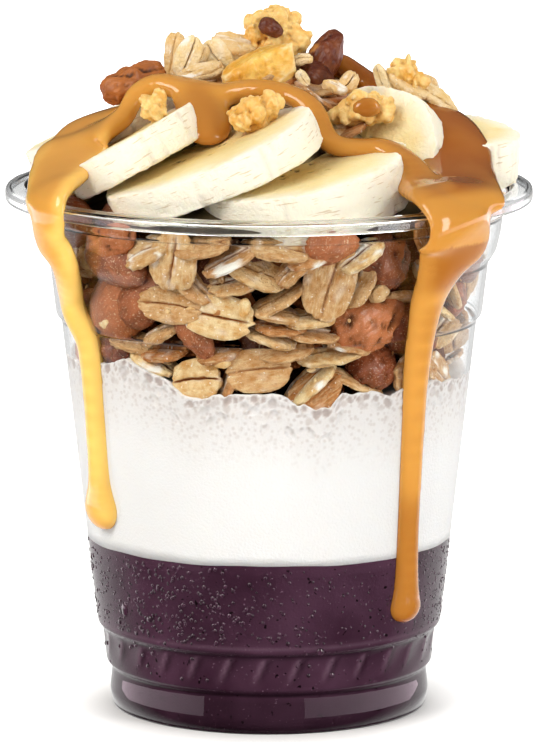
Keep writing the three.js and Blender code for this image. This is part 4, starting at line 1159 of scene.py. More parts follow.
def oat_flake(random, half, tone, detail, shade=0.0):
    """One rolled oat lying flat: points, faces, marks of tone, painted shade with the rim's toasting,
    and flour, own coordinates.
    """
    length, width, thick = half
    rows, sides = detail
    step = np.linspace(-1, 1, rows)
    y = (0.985 * np.sign(step) * np.abs(step) ** 1.25)[:, None] * np.ones(sides)
    loop = even_turns(sides)
    turn, rise = np.cos(loop), np.sin(loop)
    ragged = 1 + random.normal(0, 0.06, (rows, 2))
    ragged[1:-1] = 0.5 * ragged[1:-1] + 0.25 * (ragged[:-2] + ragged[2:])
    end = np.where(turn > 0, ragged[:, :1], ragged[:, 1:])
    round_end = (1 - np.abs(y) ** OAT_SQUARENESS) ** (1 / OAT_SQUARENESS)
    x = round_end * np.sign(turn) * np.abs(turn) ** 0.8 * end
    lift = np.sign(rise) * np.abs(rise) ** 0.35 * (1 - np.abs(y) ** 8) ** 0.5
    wander = y - 0.06 * np.sin(2.2 * x + random.uniform(0, 6))
    inside = np.clip(1 - np.abs(x) ** 6, 0, 1)
    furrow = peak(wander, 0, FURROW_WIDTH) * inside
    lips = peak(np.abs(wander), OAT_LIP_PLACE, OAT_LIP_WIDTH) * inside
    depth = np.where(lift > 0, random.uniform(0.5, 0.95), random.uniform(0.1, 0.5))
    curl, bend, twist = random.normal(0, (0.05, 0.03, 0.04))
    z = thick * lift * (1 - depth * furrow + 0.1 * depth * lips)
    z = z + curl * width * y ** 2 + bend * length * x ** 2 + twist * length * x * y
    rings = np.stack([x * length, y * width, z], axis=2)
    local, faces = skin(rings, (0, -width, curl * width), (0, width, curl * width))
    shift = random.uniform(0, 50, 3)
    points = local + 0.15 * lumps(local + shift, 1.0, 2)[:, None] * np.array([1, 1, 0.7])
    on_face = (np.abs(lift) > 0.2).ravel()
    crease = np.append(furrow.ravel() * on_face, [0, 0])
    lip = np.append(lips.ravel() * on_face, [0, 0])
    rim = np.append(~on_face, [True, True])
    patchy = 0.5 + 0.5 * lumps(local + shift, 1.0, 2)
    is_floury = random.random() < FLOURY_SHARE
    flour = np.clip((lumps(local - shift, 2.2, 2) - 0.4) * 3, 0, 1) * (0.3 + 0.7 * is_floury)
    cracked = (lip + 0.6 * crease) * is_floury * np.clip(patchy * 2 - 0.7, 0, 1)
    flour = np.maximum(flour, cracked) * (1 - shade)
    # Painted shade in the furrow and, through shade, on pieces that lie deeper; the rim browns by
    # toasting
    dark = crease * random.uniform(0.35, 0.95) * (1 - 0.5 * is_floury * patchy) + 0.3 * rim * patchy
    dark = np.clip(np.maximum(dark, shade), 0, 1)
    marks = np.stack([tone + 0.15 * (patchy - 0.5), dark, flour], axis=1)
    return points, faces, marks, (local + shift) * MM


def nut_body(random, half, tone, kind, detail, cut_along=None):
    """An almond, a folded pecan piece or a wrinkled dried fruit, its length along X."""
    length, width, thick = half
    count, sides = detail
    u = np.linspace(0.1, math.pi - 0.1, count)[:, None]
    angle = even_turns(sides)
    taper, blunt = NUT_FORMS[kind]
    reach = np.sin(u) ** blunt * (1 - taper * np.cos(u))
    rings = np.stack([
        np.repeat(np.cos(u), sides, axis=1) * length,
        reach * np.cos(angle) * width,
        reach * np.sin(angle) * thick,
    ], axis=2)
    local, faces = skin(rings, (length, 0, 0), (-length, 0, 0))
    place = local + random.uniform(0, 50, 3)
    scale = min(1.0, width / 4)
    fine = 0.16 * lumps(place, 0.9, 2)
    if kind == "almond":
        relief = fine + 0.12 * lumps(place, (9, 1.3, 1.3), 2) + 0.28 * lumps(place, 4.5)
    elif kind == "raisin":
        ridges = 1 - 2 * np.abs(lumps(place, (7, 2.6, 2.6), 2))
        relief = fine + scale * (0.42 * ridges + 0.4 * lumps(place, 4.0) - 0.25)
    else:
        folds = 1 - 2 * np.abs(lumps(place, (4.5, 2.6, 2.6), 2))
        relief = fine + scale * (0.55 * folds + 0.6 * lumps(place, 4.2, 2) - 0.3)
    points = local + unit(local / np.array(half)) * relief[:, None]
    cut = np.zeros(len(points))
    if cut_along is not None:
        direction = unit(np.array(cut_along, float))
        over = points @ direction - 0.86 * width
        cut = smooth_step(over, -0.1, 0.15)
        points = points - direction * np.clip(over, 0, None)[:, None] * 0.9
    # Painted shade in the hollows of the wrinkles and folds
    groove_shade = np.clip(hollowness(points, faces, 0.14, 4), 0, 1) * 0.85
    tones = np.clip(tone + 0.2 * lumps(place, 4), 0, 1)
    return points, faces, np.stack([tones, groove_shade, cut], axis=1), place * MM


def ball(random, centre, half, is_turned=True, rows=6, sides=9):
    """A small uneven lump."""
    u = np.linspace(0.35, math.pi - 0.35, rows)[:, None]
    angle = even_turns(sides)
    rings = np.stack([
        np.repeat(np.cos(u), sides, axis=1), np.sin(u) * np.cos(angle), np.sin(u) * np.sin(angle),
    ], axis=2)
    points, faces = skin(rings, (1, 0, 0), (-1, 0, 0))
    uneven = 1 + 0.25 * lumps(points * 2 + random.uniform(0, 50, 3), 1.4)[:, None]
    tilt = rotation(random.uniform(-90, 90), random.uniform(0, 360)) if is_turned else np.eye(3)
    return points * uneven * half @ tilt.T + centre, faces


def crumb_lump(random, half, tone, detail):
    """A loose crumb of baked oat."""
    points, faces = ball(random, np.zeros(3), half, False, *detail)
    marks = np.zeros((len(points), 3))
    marks[:, 0] = tone
    marks[:, 2] = 0.8 * (random.random() < 0.2)
    return points, faces, marks, (points + random.uniform(0, 50, 3)) * MM


def lie_on_wall(points, degrees, height, spin, lean, deeper=0.0):
    """Turns a flat piece to press against the wall at degrees to the right of the front."""
    outward, side = wall_axes(degrees)
    c, s = math.cos(math.radians(spin)), math.sin(math.radians(spin))
    cross_axis = UP * c - side * s
    cl, sl = math.cos(math.radians(lean)), math.sin(math.radians(lean))
    normal = outward * cl + cross_axis * sl
    axes = np.stack([side * c + UP * s, cross_axis * cl - outward * sl, normal])
    placed = points @ axes + outward * (wall_radius(height) - WALL - 2) + UP * height
    over = np.hypot(placed[:, 0], placed[:, 1]) - (wall_radius(placed[:, 2]) - WALL - 0.1)
    return placed - outward * (over.max() + deeper)


def is_clear(taken, degrees, height, gap):
    """True where no piece lies within gap mm on the unrolled wall."""
    for other_degrees, other_height in taken:
        across = (degrees - other_degrees + 180) % 360 - 180
        if math.hypot(math.radians(across) * wall_radius(height), height - other_height) < gap:
            return False
    return True


def heap_height(x, y):
    """Height of the bare heap's surface at x, y."""
    radius = np.hypot(x, y - HEAP_CENTRE_Y)
    return np.interp(radius, HEAP_OUTLINE[::-1, 0], HEAP_OUTLINE[::-1, 1])


def under_fruit(point):
    """True where a point lies in, just under or on top of a banana slice."""
    for centre, facing, half_length, half_width, thickness in SLICES.values():
        along, across, rise = slice_axes(facing) @ (point - np.array(centre))
        inside = math.hypot(along / half_length, across / half_width) < 1.02
        if inside and -thickness / 2 - 1 < rise < thickness / 2 + 4:
            return True
    return False


class Granola:
    """Gathers the loose pieces of each kind and links them as one piece per kind."""

    def __init__(self, settings):
        self.settings = settings
        self.random = np.random.default_rng(settings.seed)
        sizes = (settings.oat_length, settings.oat_width, settings.oat_thickness)
        self.half = np.array(sizes) / MM / 2
        self.parts = {"oat": [], "almond": [], "pecan": [], "crumb": []}

    def press(self, kind, degrees, height, length, width, spin, lean, tone, layer=0, deeper=0.0):
        """Adds a piece that leans on the wall, or lies deeper behind the pieces that do."""
        random = self.random
        at_front = layer == 0 and abs(degrees) < 95
        if kind == "oat":
            detail = FINE_FLAKE if at_front else PLAIN_FLAKE if layer == 0 else DEEP_FLAKE
            half = (length, width, self.half[2] * random.uniform(0.85, 1.2))
            piece = oat_flake(random, half, tone, detail, LAYER_SHADE[layer])
        elif kind == "crumb":
            half = np.array([length, width, width * CRUMB_DEPTH])
            piece = crumb_lump(random, half, tone, FINE_CRUMB)
        else:
            half = (length, width, width * NUT_DEPTHS[kind])
            piece = nut_body(random, half, tone, kind, FINE_NUT if at_front else PLAIN_NUT)
            # Deeper nuts get painted shade through the same mark
            piece[2][:, 1] = np.maximum(piece[2][:, 1], LAYER_SHADE[layer])
        placed = lie_on_wall(piece[0], degrees, height, spin, lean, deeper)
        self.parts[kind].append((placed, *piece[1:]))

    def wall_spot(self, lift):
        """A random place on the wall between the cream and the fruit."""
        degrees = self.random.uniform(-180, 180)
        top = FRUIT_FOOT if abs(degrees) < FRUIT_SPAN else GRANOLA_TOP
        low = float(cream_top(math.radians(degrees - 90))) + lift
        return degrees, self.random.uniform(low, top)

    def fill(self, layer, taken):
        """Fills one layer behind the wall with pieces that keep clear of those taken."""
        random = self.random
        for _ in range(LAYER_TRIES):
            degrees, height = self.wall_spot(0.8 + layer)
            if not is_clear(taken, degrees, height, LAYER_GAPS[layer]):
                continue
            taken.append((degrees, height))
            size = random.uniform(0.78, 1.12)
            steep = random.uniform(35, 78) * random.choice([-1, 1])
            lean = random.choice([random.uniform(-20, 20), steep, steep])
            spin = random.uniform(-70, 70)
            tone = random.beta(*TOAST_SPREAD)
            deeper = layer * LAYER_STEP + random.uniform(0, 1.2)
            kind = str(random.choice(list(KIND_SHARES), p=list(KIND_SHARES.values())))
            half = NUT_HALVES.get(kind, self.half[:2])
            lean = lean if kind == "oat" else lean / 4
            self.press(kind, degrees, height, half[0] * size, half[1] * size, spin, lean, tone,
                       layer, deeper)

    def strew(self, count):
        """Strews oats over the bare parts of the heap."""
        random = self.random
        for _ in range(count):
            turn, reach = random.uniform(0, TURN), STREWN_REACH * math.sqrt(random.random())
            x, y = reach * math.cos(turn), reach * math.sin(turn)
            place = np.array([x, y, heap_height(x, y) + STREWN_LIFT])
            in_front = y < STREWN_FROM - abs(x) / 3
            if under_fruit(place) or in_front and place[2] < STREWN_LOW:
                continue
            facing = UP * 1.6 + random.normal(0, 0.6, 3) + np.array([x, y - HEAP_CENTRE_Y, 0]) / 40
            half = self.half * random.uniform(0.75, 1.1)
            # Oats in front get painted shade
            shade = STREWN_SHADE * in_front
            points, *rest = oat_flake(random, half, random.beta(*TOAST_SPREAD), PLAIN_FLAKE, shade)
            self.parts["oat"].append((points @ slice_axes(facing) + place, *rest))

    def crumble(self, count):
        """Drops crumbs between the pieces behind the wall."""
        random = self.random
        for _ in range(count):
            degrees, height = self.wall_spot(0.4)
            half = random.uniform(0.2, 0.6) * np.array([1.5, 1.1, 0.45]) * random.uniform(0.8, 1.3, 3)
            points, *rest = crumb_lump(random, half, random.beta(1.2, 1.8), PLAIN_CRUMB)
            spin, lean = random.uniform(-90, 90), random.uniform(0, 60)
            placed = lie_on_wall(points, degrees, height, spin, lean, random.uniform(0.3, 3.5))
            self.parts["crumb"].append((placed, *rest))

    def link(self):
        pale, toasted = self.settings.oat_pale, self.settings.oat_toasted
        oat = rolled_oat("rolled_oat_toasted", pale, toasted, "#d99d50", "#93501d")
        finishes = {
            "oat": oat,
            "crumb": oat,
            "almond": nut_skin("almond_skin_roasted", "#d07e4a", "#8c4727", 0.42, 0.9, 0.6),
            "pecan": nut_skin("pecan_candied", "#dd8a58", "#7c3a22", 0.25, 1.3, 0.3),
        }
        for kind, parts in self.parts.items():
            points, faces, *carry = joined(parts)
            nodes = ["granola"] if kind == "oat" else []
            name = f"granola_{kind}s"
            add_piece(name, points, faces, finishes[kind], "granola_mix", nodes, *carry)


def build_bed():
    """Bed of fine toasted crumb that the loose pieces lie on, painted near black as the shade between
    them, with painted light towards the heap's top.
    """
    low = CREAM_TOP - 3
    levels = np.linspace(low, 93, 20)
    wall = np.stack([wall_radius(levels) - CORE_INSET, levels], axis=1)
    heap = rounded(HEAP_OUTLINE, 3)
    share = np.linspace(0, 1, 40)[:-1]
    steps = np.linspace(0, 1, len(heap))
    fine = np.stack([np.interp(share, steps, heap[:, k]) for k in (0, 1)], axis=1)
    outline = np.concatenate([[(0, low)], wall, fine, [(0, HEAP_OUTLINE[-1, 1])]])
    points, faces = turned(outline, 160)
    share = np.clip((points[:, 2] - HEAP_OUTLINE[0, 1]) / np.ptp(HEAP_OUTLINE[:, 1]), 0, 1)
    points[:, 1] += HEAP_CENTRE_Y * np.sqrt(share)
    relief = lumps(points, BED_LUMP, 2)
    outward = unit(points - np.array([0, HEAP_CENTRE_Y, 88]))
    points = points + outward * (BED_RELIEF * relief)[:, None]
    # Painted light on the heap's upper lumps and painted shade in its dips
    lit = smooth_step(points[:, 2], *HEAP_LIT) * np.clip(0.22 + 0.3 * relief, 0, 1)
    marks = np.stack([0.5 + 0.5 * relief, np.clip(0.8 - relief, 0, 1), lit], axis=1)
    finish = toasted_crumb("granola_crumb_bed_shade", "#4a2410", "#2e1408", "#120703", 0.05)
    add_piece("granola_bed", points, faces, finish, "granola_mix", [], marks)


# Fruit

def build_slice(name, row, finish, seed):
    """A knife-cut banana slice: ragged rim, creased side, seeds in three rays round its core."""
    centre, facing, half_length, half_width, thickness = row
    random = np.random.default_rng(seed)
    angle = even_turns(SLICE_SIDES)
    half, bevel = thickness / 2, SLICE_BEVEL
    top = [(share, half) for share in np.linspace(0.02, 0.975, SLICE_FACE_ROWS)]
    rim = [(0.99, half - 0.1), (0.998, half - 0.3), (1, half - bevel)]
    levels = np.linspace(half - bevel, bevel - half, SLICE_SIDE_ROWS)[1:-1]
    side = [(1, level) for level in levels]
    foot = [(1, bevel - half), (0.998, 0.3 - half), (0.985, 0.1 - half)]
    under = [(share, -half) for share in np.linspace(0.96, 0.03, SLICE_UNDER_ROWS)]
    profile = np.array(top + rim + side + foot + under)
    share, height = (np.repeat(profile[:, k:k + 1], SLICE_SIDES, axis=1) for k in (0, 1))
    is_cut = (np.abs(height) > half - 0.15).astype(float)
    lobe = 1 + SLICE_LOBE_DEPTH * np.cos(SLICE_LOBES * angle + centre[0])
    for waves in (5, 8):
        lobe = lobe + 0.007 * np.cos(waves * angle + random.uniform(0, 6))
    flat = np.stack([np.cos(angle) * half_length, np.sin(angle) * half_width], axis=1)
    size = np.hypot(*flat.T)
    around = np.broadcast_to(flat, (len(profile), *flat.shape))
    girth = np.concatenate([around, height[..., None]], axis=2).reshape(-1, 3)
    girth = girth + random.uniform(0, 50, 3)
    coarse = lumps(girth, (3.2, 3.2, 1.6), 2).reshape(share.shape)
    shreds = lumps(girth, (0.9, 0.9, 0.7), 2).reshape(share.shape)
    lines = lumps(girth, (3.0, 3.0, 0.45)).reshape(share.shape)
    outer = smooth_step(share, 0.9, 1.0)
    near_edge = peak(np.abs(height), half, 0.55) * outer
    torn = near_edge * np.where(height < 0, 0.5, 0.22) * shreds
    belly = 0.3 * (1 - (height / half) ** 2)
    swell = outer * (0.16 * coarse - 0.1 * np.clip(np.abs(lines) - 0.5, 0, 1) + belly)
    crease = np.zeros_like(share)
    for turn in random.uniform(0, TURN, SLICE_CREASES):
        offset = np.abs((angle - turn + math.pi) % TURN - math.pi) * size + 0.35 * coarse
        crease += outer * random.uniform(0.4, 1.0) * peak(offset, 0, 0.3)
    radial = share * lobe + (swell + torn - 0.35 * crease) / size
    x, y = radial * flat[:, 0], radial * flat[:, 1]
    grain = np.stack([x, y, np.zeros_like(x)], axis=2).reshape(-1, 3)
    fibre = lumps(grain + 9, 1.1, 2).reshape(share.shape)
    wave = lumps(grain + 40, 6.0).reshape(share.shape)
    looks = np.sign(height) * is_cut
    z = height + looks * (0.08 * fibre + 0.2 * wave - 0.3 * peak(share, 0, 0.16))
    z = z + near_edge * 0.18 * shreds
    seeds_and_crease_shade = np.zeros_like(share)
    for ray, _ in itertools.product(range(SEED_RAYS), range(SEEDS_IN_RAY)):
        turn = ray * TURN / SEED_RAYS + centre[0] + random.normal(0, 0.25)
        spot = np.array([math.cos(turn) * half_length, math.sin(turn) * half_width])
        spot = spot * random.uniform(0.1, 0.36)
        distance = np.hypot(x - spot[0], y - spot[1])
        pit = peak(distance, 0, random.uniform(0.35, 0.65)) * is_cut
        z -= looks * 0.35 * pit
        seeds_and_crease_shade = np.maximum(seeds_and_crease_shade, smooth_step(pit, 0.25, 0.7) * random.uniform(0.55, 1.0))
    # Painted shade along the creases in the side, carried in the seed mark
    seeds_and_crease_shade = np.maximum(seeds_and_crease_shade, 0.28 * np.clip(crease, 0, 1) * (1 - is_cut))
    local, faces = skin(np.stack([x, y, z], axis=2), (0, 0, half - 0.3), (0, 0, 0.3 - half))
    marks = np.stack([is_cut, share, seeds_and_crease_shade], axis=2).reshape(-1, 3)
    marks = np.concatenate([marks, [(1, 0, 0), (1, 0, 0)]])
    points = local @ slice_axes(facing) + np.array(centre)
    add_piece(f"{name}_slice", points, faces, finish, "banana_flesh", [name], marks, local * MM)


# Granola pieces on top

def crumble(random, cores):
    """Baked crumb: uneven cores covered in nodules, fused, roughened and marked with painted shade and
    highlights.
    """
    parts = [ball(random, centre, np.array(half) * 0.95, False) for centre, half in cores]
    for centre, half in cores:
        half = np.array(half)
        area = 4 * math.pi * (half[0] * half[1] + half[1] * half[2] + half[0] * half[2]) / 3
        for _ in range(int(area / (3.2 * NODULE ** 2))):
            spot = np.array(centre) + unit(random.normal(size=3)) * half * random.uniform(0.74, 0.95)
            size = NODULE * (0.45 + 0.85 * random.random() ** 2)
            shape = (1.4, 1.1, 0.5) if random.random() < 0.12 else random.uniform(0.8, 1.3, 3)
            parts.append(ball(random, spot, size * np.array(shape), True, 5, 8))
    points, faces = fused(parts, CLUSTER_VOXEL, 3)
    rough = 0.1 * lumps(points + 20, 1.0, 2) + 0.05 * lumps(points + 40, 0.45)
    points = points + vertex_normals(points, faces) * rough[:, None]
    # Painted shade in the hollows and painted highlights on the ridges
    under = hollowness(points, faces, 0.28, 8)
    tones = np.clip(0.45 + 0.6 * lumps(points + random.uniform(0, 50, 3), 2.6, 2), 0, 1)
    ridge_highlight = np.clip(-under * 1.3 - 0.25, 0, 1) * 0.75
    return points, faces, np.stack([tones, np.clip(under * 1.1 - 0.15, 0, 1), ridge_highlight], axis=1)


def cluster_cores(random, half):
    """Where a cluster's cores sit, packed in its outline."""
    half = np.array(half)
    cores = [(np.zeros(3), half * 0.66)]
    for _ in range(CLUSTER_CORES):
        spot = unit(random.normal(size=3)) * half * 0.6
        cores.append((spot, half * random.uniform(0.3, 0.46, 3)))
    return cores


def build_cluster(name, row, finish, seed, nodes):
    centre, half, turn_y, turn_z = row
    random = np.random.default_rng(seed)
    cores = [(np.array(spot), np.full(3, radius)) for spot, radius in CROWN_LOBES]
    if name != "crown_cluster":
        cores = cluster_cores(random, half)
    points, faces, marks = crumble(random, cores)
    placed = points @ rotation(turn_y, turn_z).T + np.array(centre)
    add_piece(f"{name}_crumb", placed, faces, finish, "toasted_cluster", nodes, marks)


def build_chip(name, row, finish, seed):
    """A crisp flake folded along its length, blistered, with a ragged edge."""
    centre, half, turn_y, turn_z = row
    random = np.random.default_rng(seed)
    length, width, thick = half
    angle = even_turns(CHIP_SIDES)
    face = np.linspace(0.04, 0.94, 24)
    rim = [(0.98, 0.8), (1, 0.4), (1, 0), (1, -0.4), (0.98, -0.8)]
    profile = np.array([(s, 1) for s in face] + rim + [(s, -1) for s in face[::-1]])
    share, level = (np.repeat(profile[:, k:k + 1], CHIP_SIDES, axis=1) for k in (0, 1))
    boxy = (np.abs(np.cos(angle)) ** 3 + np.abs(np.sin(angle)) ** 3) ** (-1 / 3)
    circle = np.stack([np.cos(angle) * 5, np.sin(angle) * 5, angle * 0], axis=1)
    ragged = boxy * (1 + 0.13 * lumps(circle + random.uniform(0, 50, 3), 2.2, 2))
    x = length * share * ragged * np.cos(angle)
    y = width * share * ragged * np.sin(angle)
    fold = thick * (0.8 - 1.5 * np.sqrt((y / width) ** 2 + 0.006)) + 0.4 * np.sin(x / length * 3 + 1)
    z = fold + 0.7 * level * (1 + 0.25 * np.sin(2 * x / length + 2))
    local, faces = skin(np.stack([x, y, z], axis=2), (0, 0, z[0, 0]), (0, 0, z[-1, 0]))
    shift = random.uniform(0, 50, 3)
    relief = 0.2 * lumps(local + shift, 2.4, 2) + 0.14 * lumps(local - shift, 0.8, 2)
    points = local + vertex_normals(local, faces) * relief[:, None]
    for direction in unit(random.normal(size=(CHIP_FACETS, 3))):
        reach = points @ direction
        points = points - direction * np.clip(reach - 0.9 * reach.max(), 0, None)[:, None]
    # Painted shade in the hollows, painted highlights on the ridges and the edge
    under = hollowness(points, faces, 0.2, 6)
    tones = np.clip(0.45 + 0.7 * lumps(points + shift, 3.0, 2), 0, 1)
    edge = np.append(smooth_step(share, 0.86, 1.0).ravel() * 0.2, [0, 0])
    ridge_highlight = np.clip(np.maximum(-under * 1.2 - 0.2, edge), 0, 0.8)
    c, s = math.cos(CHIP_TILT), math.sin(CHIP_TILT)
    lean = np.array([(1, 0, 0), (0, c, -s), (0, s, c)])
    placed = points @ (rotation(turn_y, turn_z) @ lean).T + np.array(centre)
    marks = np.stack([tones, np.clip(under, 0, 1), ridge_highlight], axis=1)
    add_piece(f"{name}_flake", placed, faces, finish, "golden_chip", [name], marks)


def lay_flakes(random, rows, centre):
    """Oats laid at given slants round a centre, as one set."""
    parts = []
    for offset, along, facing, half, tone in rows:
        points, *rest = oat_flake(random, half, tone, FINE_FLAKE)
        # Halves the painted shade in these flakes' furrows
        rest[1][:, 1] *= 0.5
        parts.append((points @ axes_from(along, facing) + np.array(offset) + centre, *rest))
    return joined(parts)


def build_nut(name, kind, row, finish, seed, nodes, cut_along=None):
    centre, half, turn_y, turn_z = row
    random = np.random.default_rng(seed)
    tone = random.uniform(0.4, 0.7)
    points, faces, *carry = nut_body(random, half, tone, kind, TOP_NUT, cut_along)
    placed = points @ rotation(turn_y, turn_z).T + np.array(centre)
    add_piece(f"{name}_kernel", placed, faces, finish, "roasted_nut", nodes, *carry)


def build_toppings(granola):
    crumb = toasted_crumb("honey_oat_crumb_baked", "#fbd98c", "#e6a945", "#a05f1c")
    crisp = toasted_crumb("golden_flake_baked", "#f6cf6a", "#e8a52e", "#b87518")
    pale, toasted = granola.sliver_pale, granola.sliver_toasted
    oat = rolled_oat("oat_sliver_baked", pale, toasted, "#efd08a", "#c98f45")
    nuts = {
        "raisin": nut_skin("raisin_dried", "#7a3524", "#34120e", 0.3, 0.8),
        "pecan": nut_skin("pecan_roasted", "#d58238", "#7a3a1c", 0.4, 1.0),
    }
    for seed, (name, (kind, *row)) in enumerate(TOPPINGS.items(), TOPPING_SEED):
        if kind == "cluster":
            build_cluster(name, row, crumb, seed, [name])
        elif kind == "chip":
            build_chip(name, row, crisp, seed)
        elif kind == "flakes":
            points, faces, *carry = lay_flakes(np.random.default_rng(seed), FLAKES[name], row[0])
            add_piece(f"{name}_stack", points, faces, oat, "toasted_cluster", [name], *carry)
        else:
            cut = CROWN_CUT if name == "crown_almond" else None
            build_nut(name, kind, row, nuts[kind], seed, [name], cut)
    build_nut("crown_raisin", "raisin", CROWN_RAISIN, nuts["raisin"], RAISIN_SEED, [])
    build_cluster("oat_pecan", FOLDED_CRUMB, crumb, FOLDED_SEED, [])
    random = np.random.default_rng(LOOSE_SEED)
    points, faces, *carry = lay_flakes(random, LOOSE_BITS, np.zeros(3))
    add_piece("loose_oats", points, faces, oat, "toasted_cluster", [], *carry)


# Caramel

def smooth_station(stations, share):
    """Values of a list of stations on a smooth curve through them."""
    span = share * (len(stations) - 1)
    i = min(int(span), len(stations) - 2)
    t = span - i
    last = len(stations) - 1
    p0, p1, p2, p3 = (np.array(stations[min(max(k, 0), last)], float) for k in range(i - 1, i + 3))
    bend = 2 * p0 - 5 * p1 + 4 * p2 - p3 + t * (3 * (p1 - p2) + p3 - p0)
    return p1 + t / 2 * (p2 - p0 + t * bend)


def drip_stations(drip):
    """Stations of a drip that leaves the lip in a curtain and clings to the wall below."""
    stations = []
    for degrees, height, half_width, half_thick in drip:
        hang = np.clip((height - CURTAIN_FOOT) / (CURTAIN_TOP - CURTAIN_FOOT), 0, 1)
        radius = wall_radius(height) + hang ** CURTAIN_CURVE * CURTAIN_STAND_OFF
        turn = math.radians(degrees)
        x, y = radius * math.cos(turn), radius * math.sin(turn)
        stations.append((x, y, height, half_width, half_thick, 1))
    return stations


def stream_rows(stations, steps_per_station=7):
    steps = (len(stations) - 1) * steps_per_station
    return np.array([smooth_station(stations, i / steps) for i in range(steps + 1)])


def stream(stations, sides=22):
    """Closed ribbon of elliptical sections through stations."""
    rows = stream_rows(stations)
    middle = rows[:, :3]
    ahead = unit(np.gradient(middle, axis=0))
    lean = np.clip(rows[:, 5:6], 0, 1)
    outer = UP * (1 - lean) + unit(middle * np.array([1, 1, 0])) * lean
    outer = unit(outer - ahead * np.sum(outer * ahead, axis=1, keepdims=True))
    side = np.cross(ahead, outer)
    angle = even_turns(sides)
    run = np.append(0, np.cumsum(np.linalg.norm(np.diff(middle, axis=0), axis=1)))
    short = 1 - np.clip(np.minimum(run, run[-1] - run) / rows[:, 3] + 0.04, 0, 1)
    ends = np.sqrt(1 - short ** 2)[:, None]
    wide, thick = rows[:, 3:4] * ends, rows[:, 4:5] * ends
    rings = (
        middle[:, None, :]
        + (wide * np.cos(angle))[..., None] * side[:, None, :]
        + (thick * np.sin(angle))[..., None] * outer[:, None, :]
    )
    return skin(rings, middle[0] - ahead[0] * 0.1, middle[-1] + ahead[-1] * 0.1)


def sauce_depth(points, routes):
    """How brown the sauce reads at each point, from its thickness and painted light and shade, weighed
    from the routes near it.
    """
    total, weight = np.zeros(len(points)), np.zeros(len(points))
    for stations, depth in routes:
        nearest, half_width = np.full(len(points), np.inf), np.ones(len(points))
        for x, y, z, wide, *_ in stream_rows(stations, 4):
            distance = np.linalg.norm(points - (x, y, z), axis=1)
            half_width = np.where(distance < nearest, wide, half_width)
            nearest = np.minimum(nearest, distance)
        pull = 1 / (nearest + 0.5) ** 4
        thick = THICK_SHARE * (1 - smooth_step(nearest / half_width, 0.45, 1.0))
        total += pull * (depth + thick)
        weight += pull
    return total / weight


def build_caramel(settings):
    left, right, back = (drip_stations(drip) for drip in (DRIP_LEFT, DRIP_RIGHT, DRIP_BACK))
    routes = [
        STREAM_LEFT + left, STREAM_SHEET, STREAM_TONGUE, STREAM_RIGHT + right, STREAM_POOL,
        STREAM_BACK + back, STREAM_BACK_RIGHT,
    ]
    random = np.random.default_rng(DAB_SEED)
    dab = ball(random, *(np.array(row) for row in SAUCE_DAB), False, 12, 20)
    parts = [stream(route) for route in routes] + [dab]
    points, faces = fused(parts, settings.voxel / MM, settings.smoothing)
    depth = sauce_depth(points, [
        (STREAM_LEFT[:ARCH_STATIONS], DEPTH_SHADE_ARCH), (STREAM_LEFT[ARCH_STATIONS:], DEPTH_SHADE_LEFT),
        (left, DEPTH_SHADE_DRIP_LEFT), (STREAM_SHEET, DEPTH_SHADE_SHEET),
        (STREAM_TONGUE, DEPTH_SHADE_TONGUE), (STREAM_RIGHT, DEPTH_SHADE_RIGHT),
        (right[:CURTAIN_STATIONS], DEPTH_SHADE_CURTAIN),
        (right[CURTAIN_STATIONS:-FOOT_STATIONS], DEPTH_SHADE_DRIP_RIGHT),
        (right[-FOOT_STATIONS:], DEPTH_SHADE_DRIP_FOOT),
        (STREAM_POOL, DEPTH_SHADE_POOL), (STREAM_BACK, DEPTH_SHADE_BACK), (back, DEPTH_SHADE_DRIP_BACK),
        (STREAM_BACK_RIGHT, DEPTH_SHADE_BACK), ([(*SAUCE_DAB[0], SAUCE_DAB[1][0])] * 2, DEPTH_SHADE_DAB),
    ])
    thin = 0.3 + 0.7 * smooth_step(points[:, 2], *POOL_EDGE)
    depth = np.where(points[:, 2] > CURTAIN_TOP, np.minimum(depth, thin), depth)
    marks = np.stack([depth, depth * 0, depth * 0], axis=1)
    finish = caramel_sauce(settings.light_colour, settings.deep_colour)
    add_piece("caramel_pour", points, faces, finish, "caramel_sauce", ["caramel"], marks)


# Stage

def soft_box(name, place, width, height, power, tint, is_mirrored=True):
    """Rectangular lamp that looks at the cup's middle."""
    light = bpy.data.lights.new(name, "AREA")
    light.shape = "RECTANGLE"
    light.size, light.size_y = width, height
    light.energy = power
    light.color = linear(tint)[:3]
    lamp = bpy.data.objects.new(name, light)
    lamp.location = place
    aim = Vector(LAMP_AIM) - Vector(place)
    lamp.rotation_euler = aim.to_track_quat("-Z", "Y").to_euler()
    lamp.visible_glossy = is_mirrored
    bpy.context.scene.collection.objects.link(lamp)


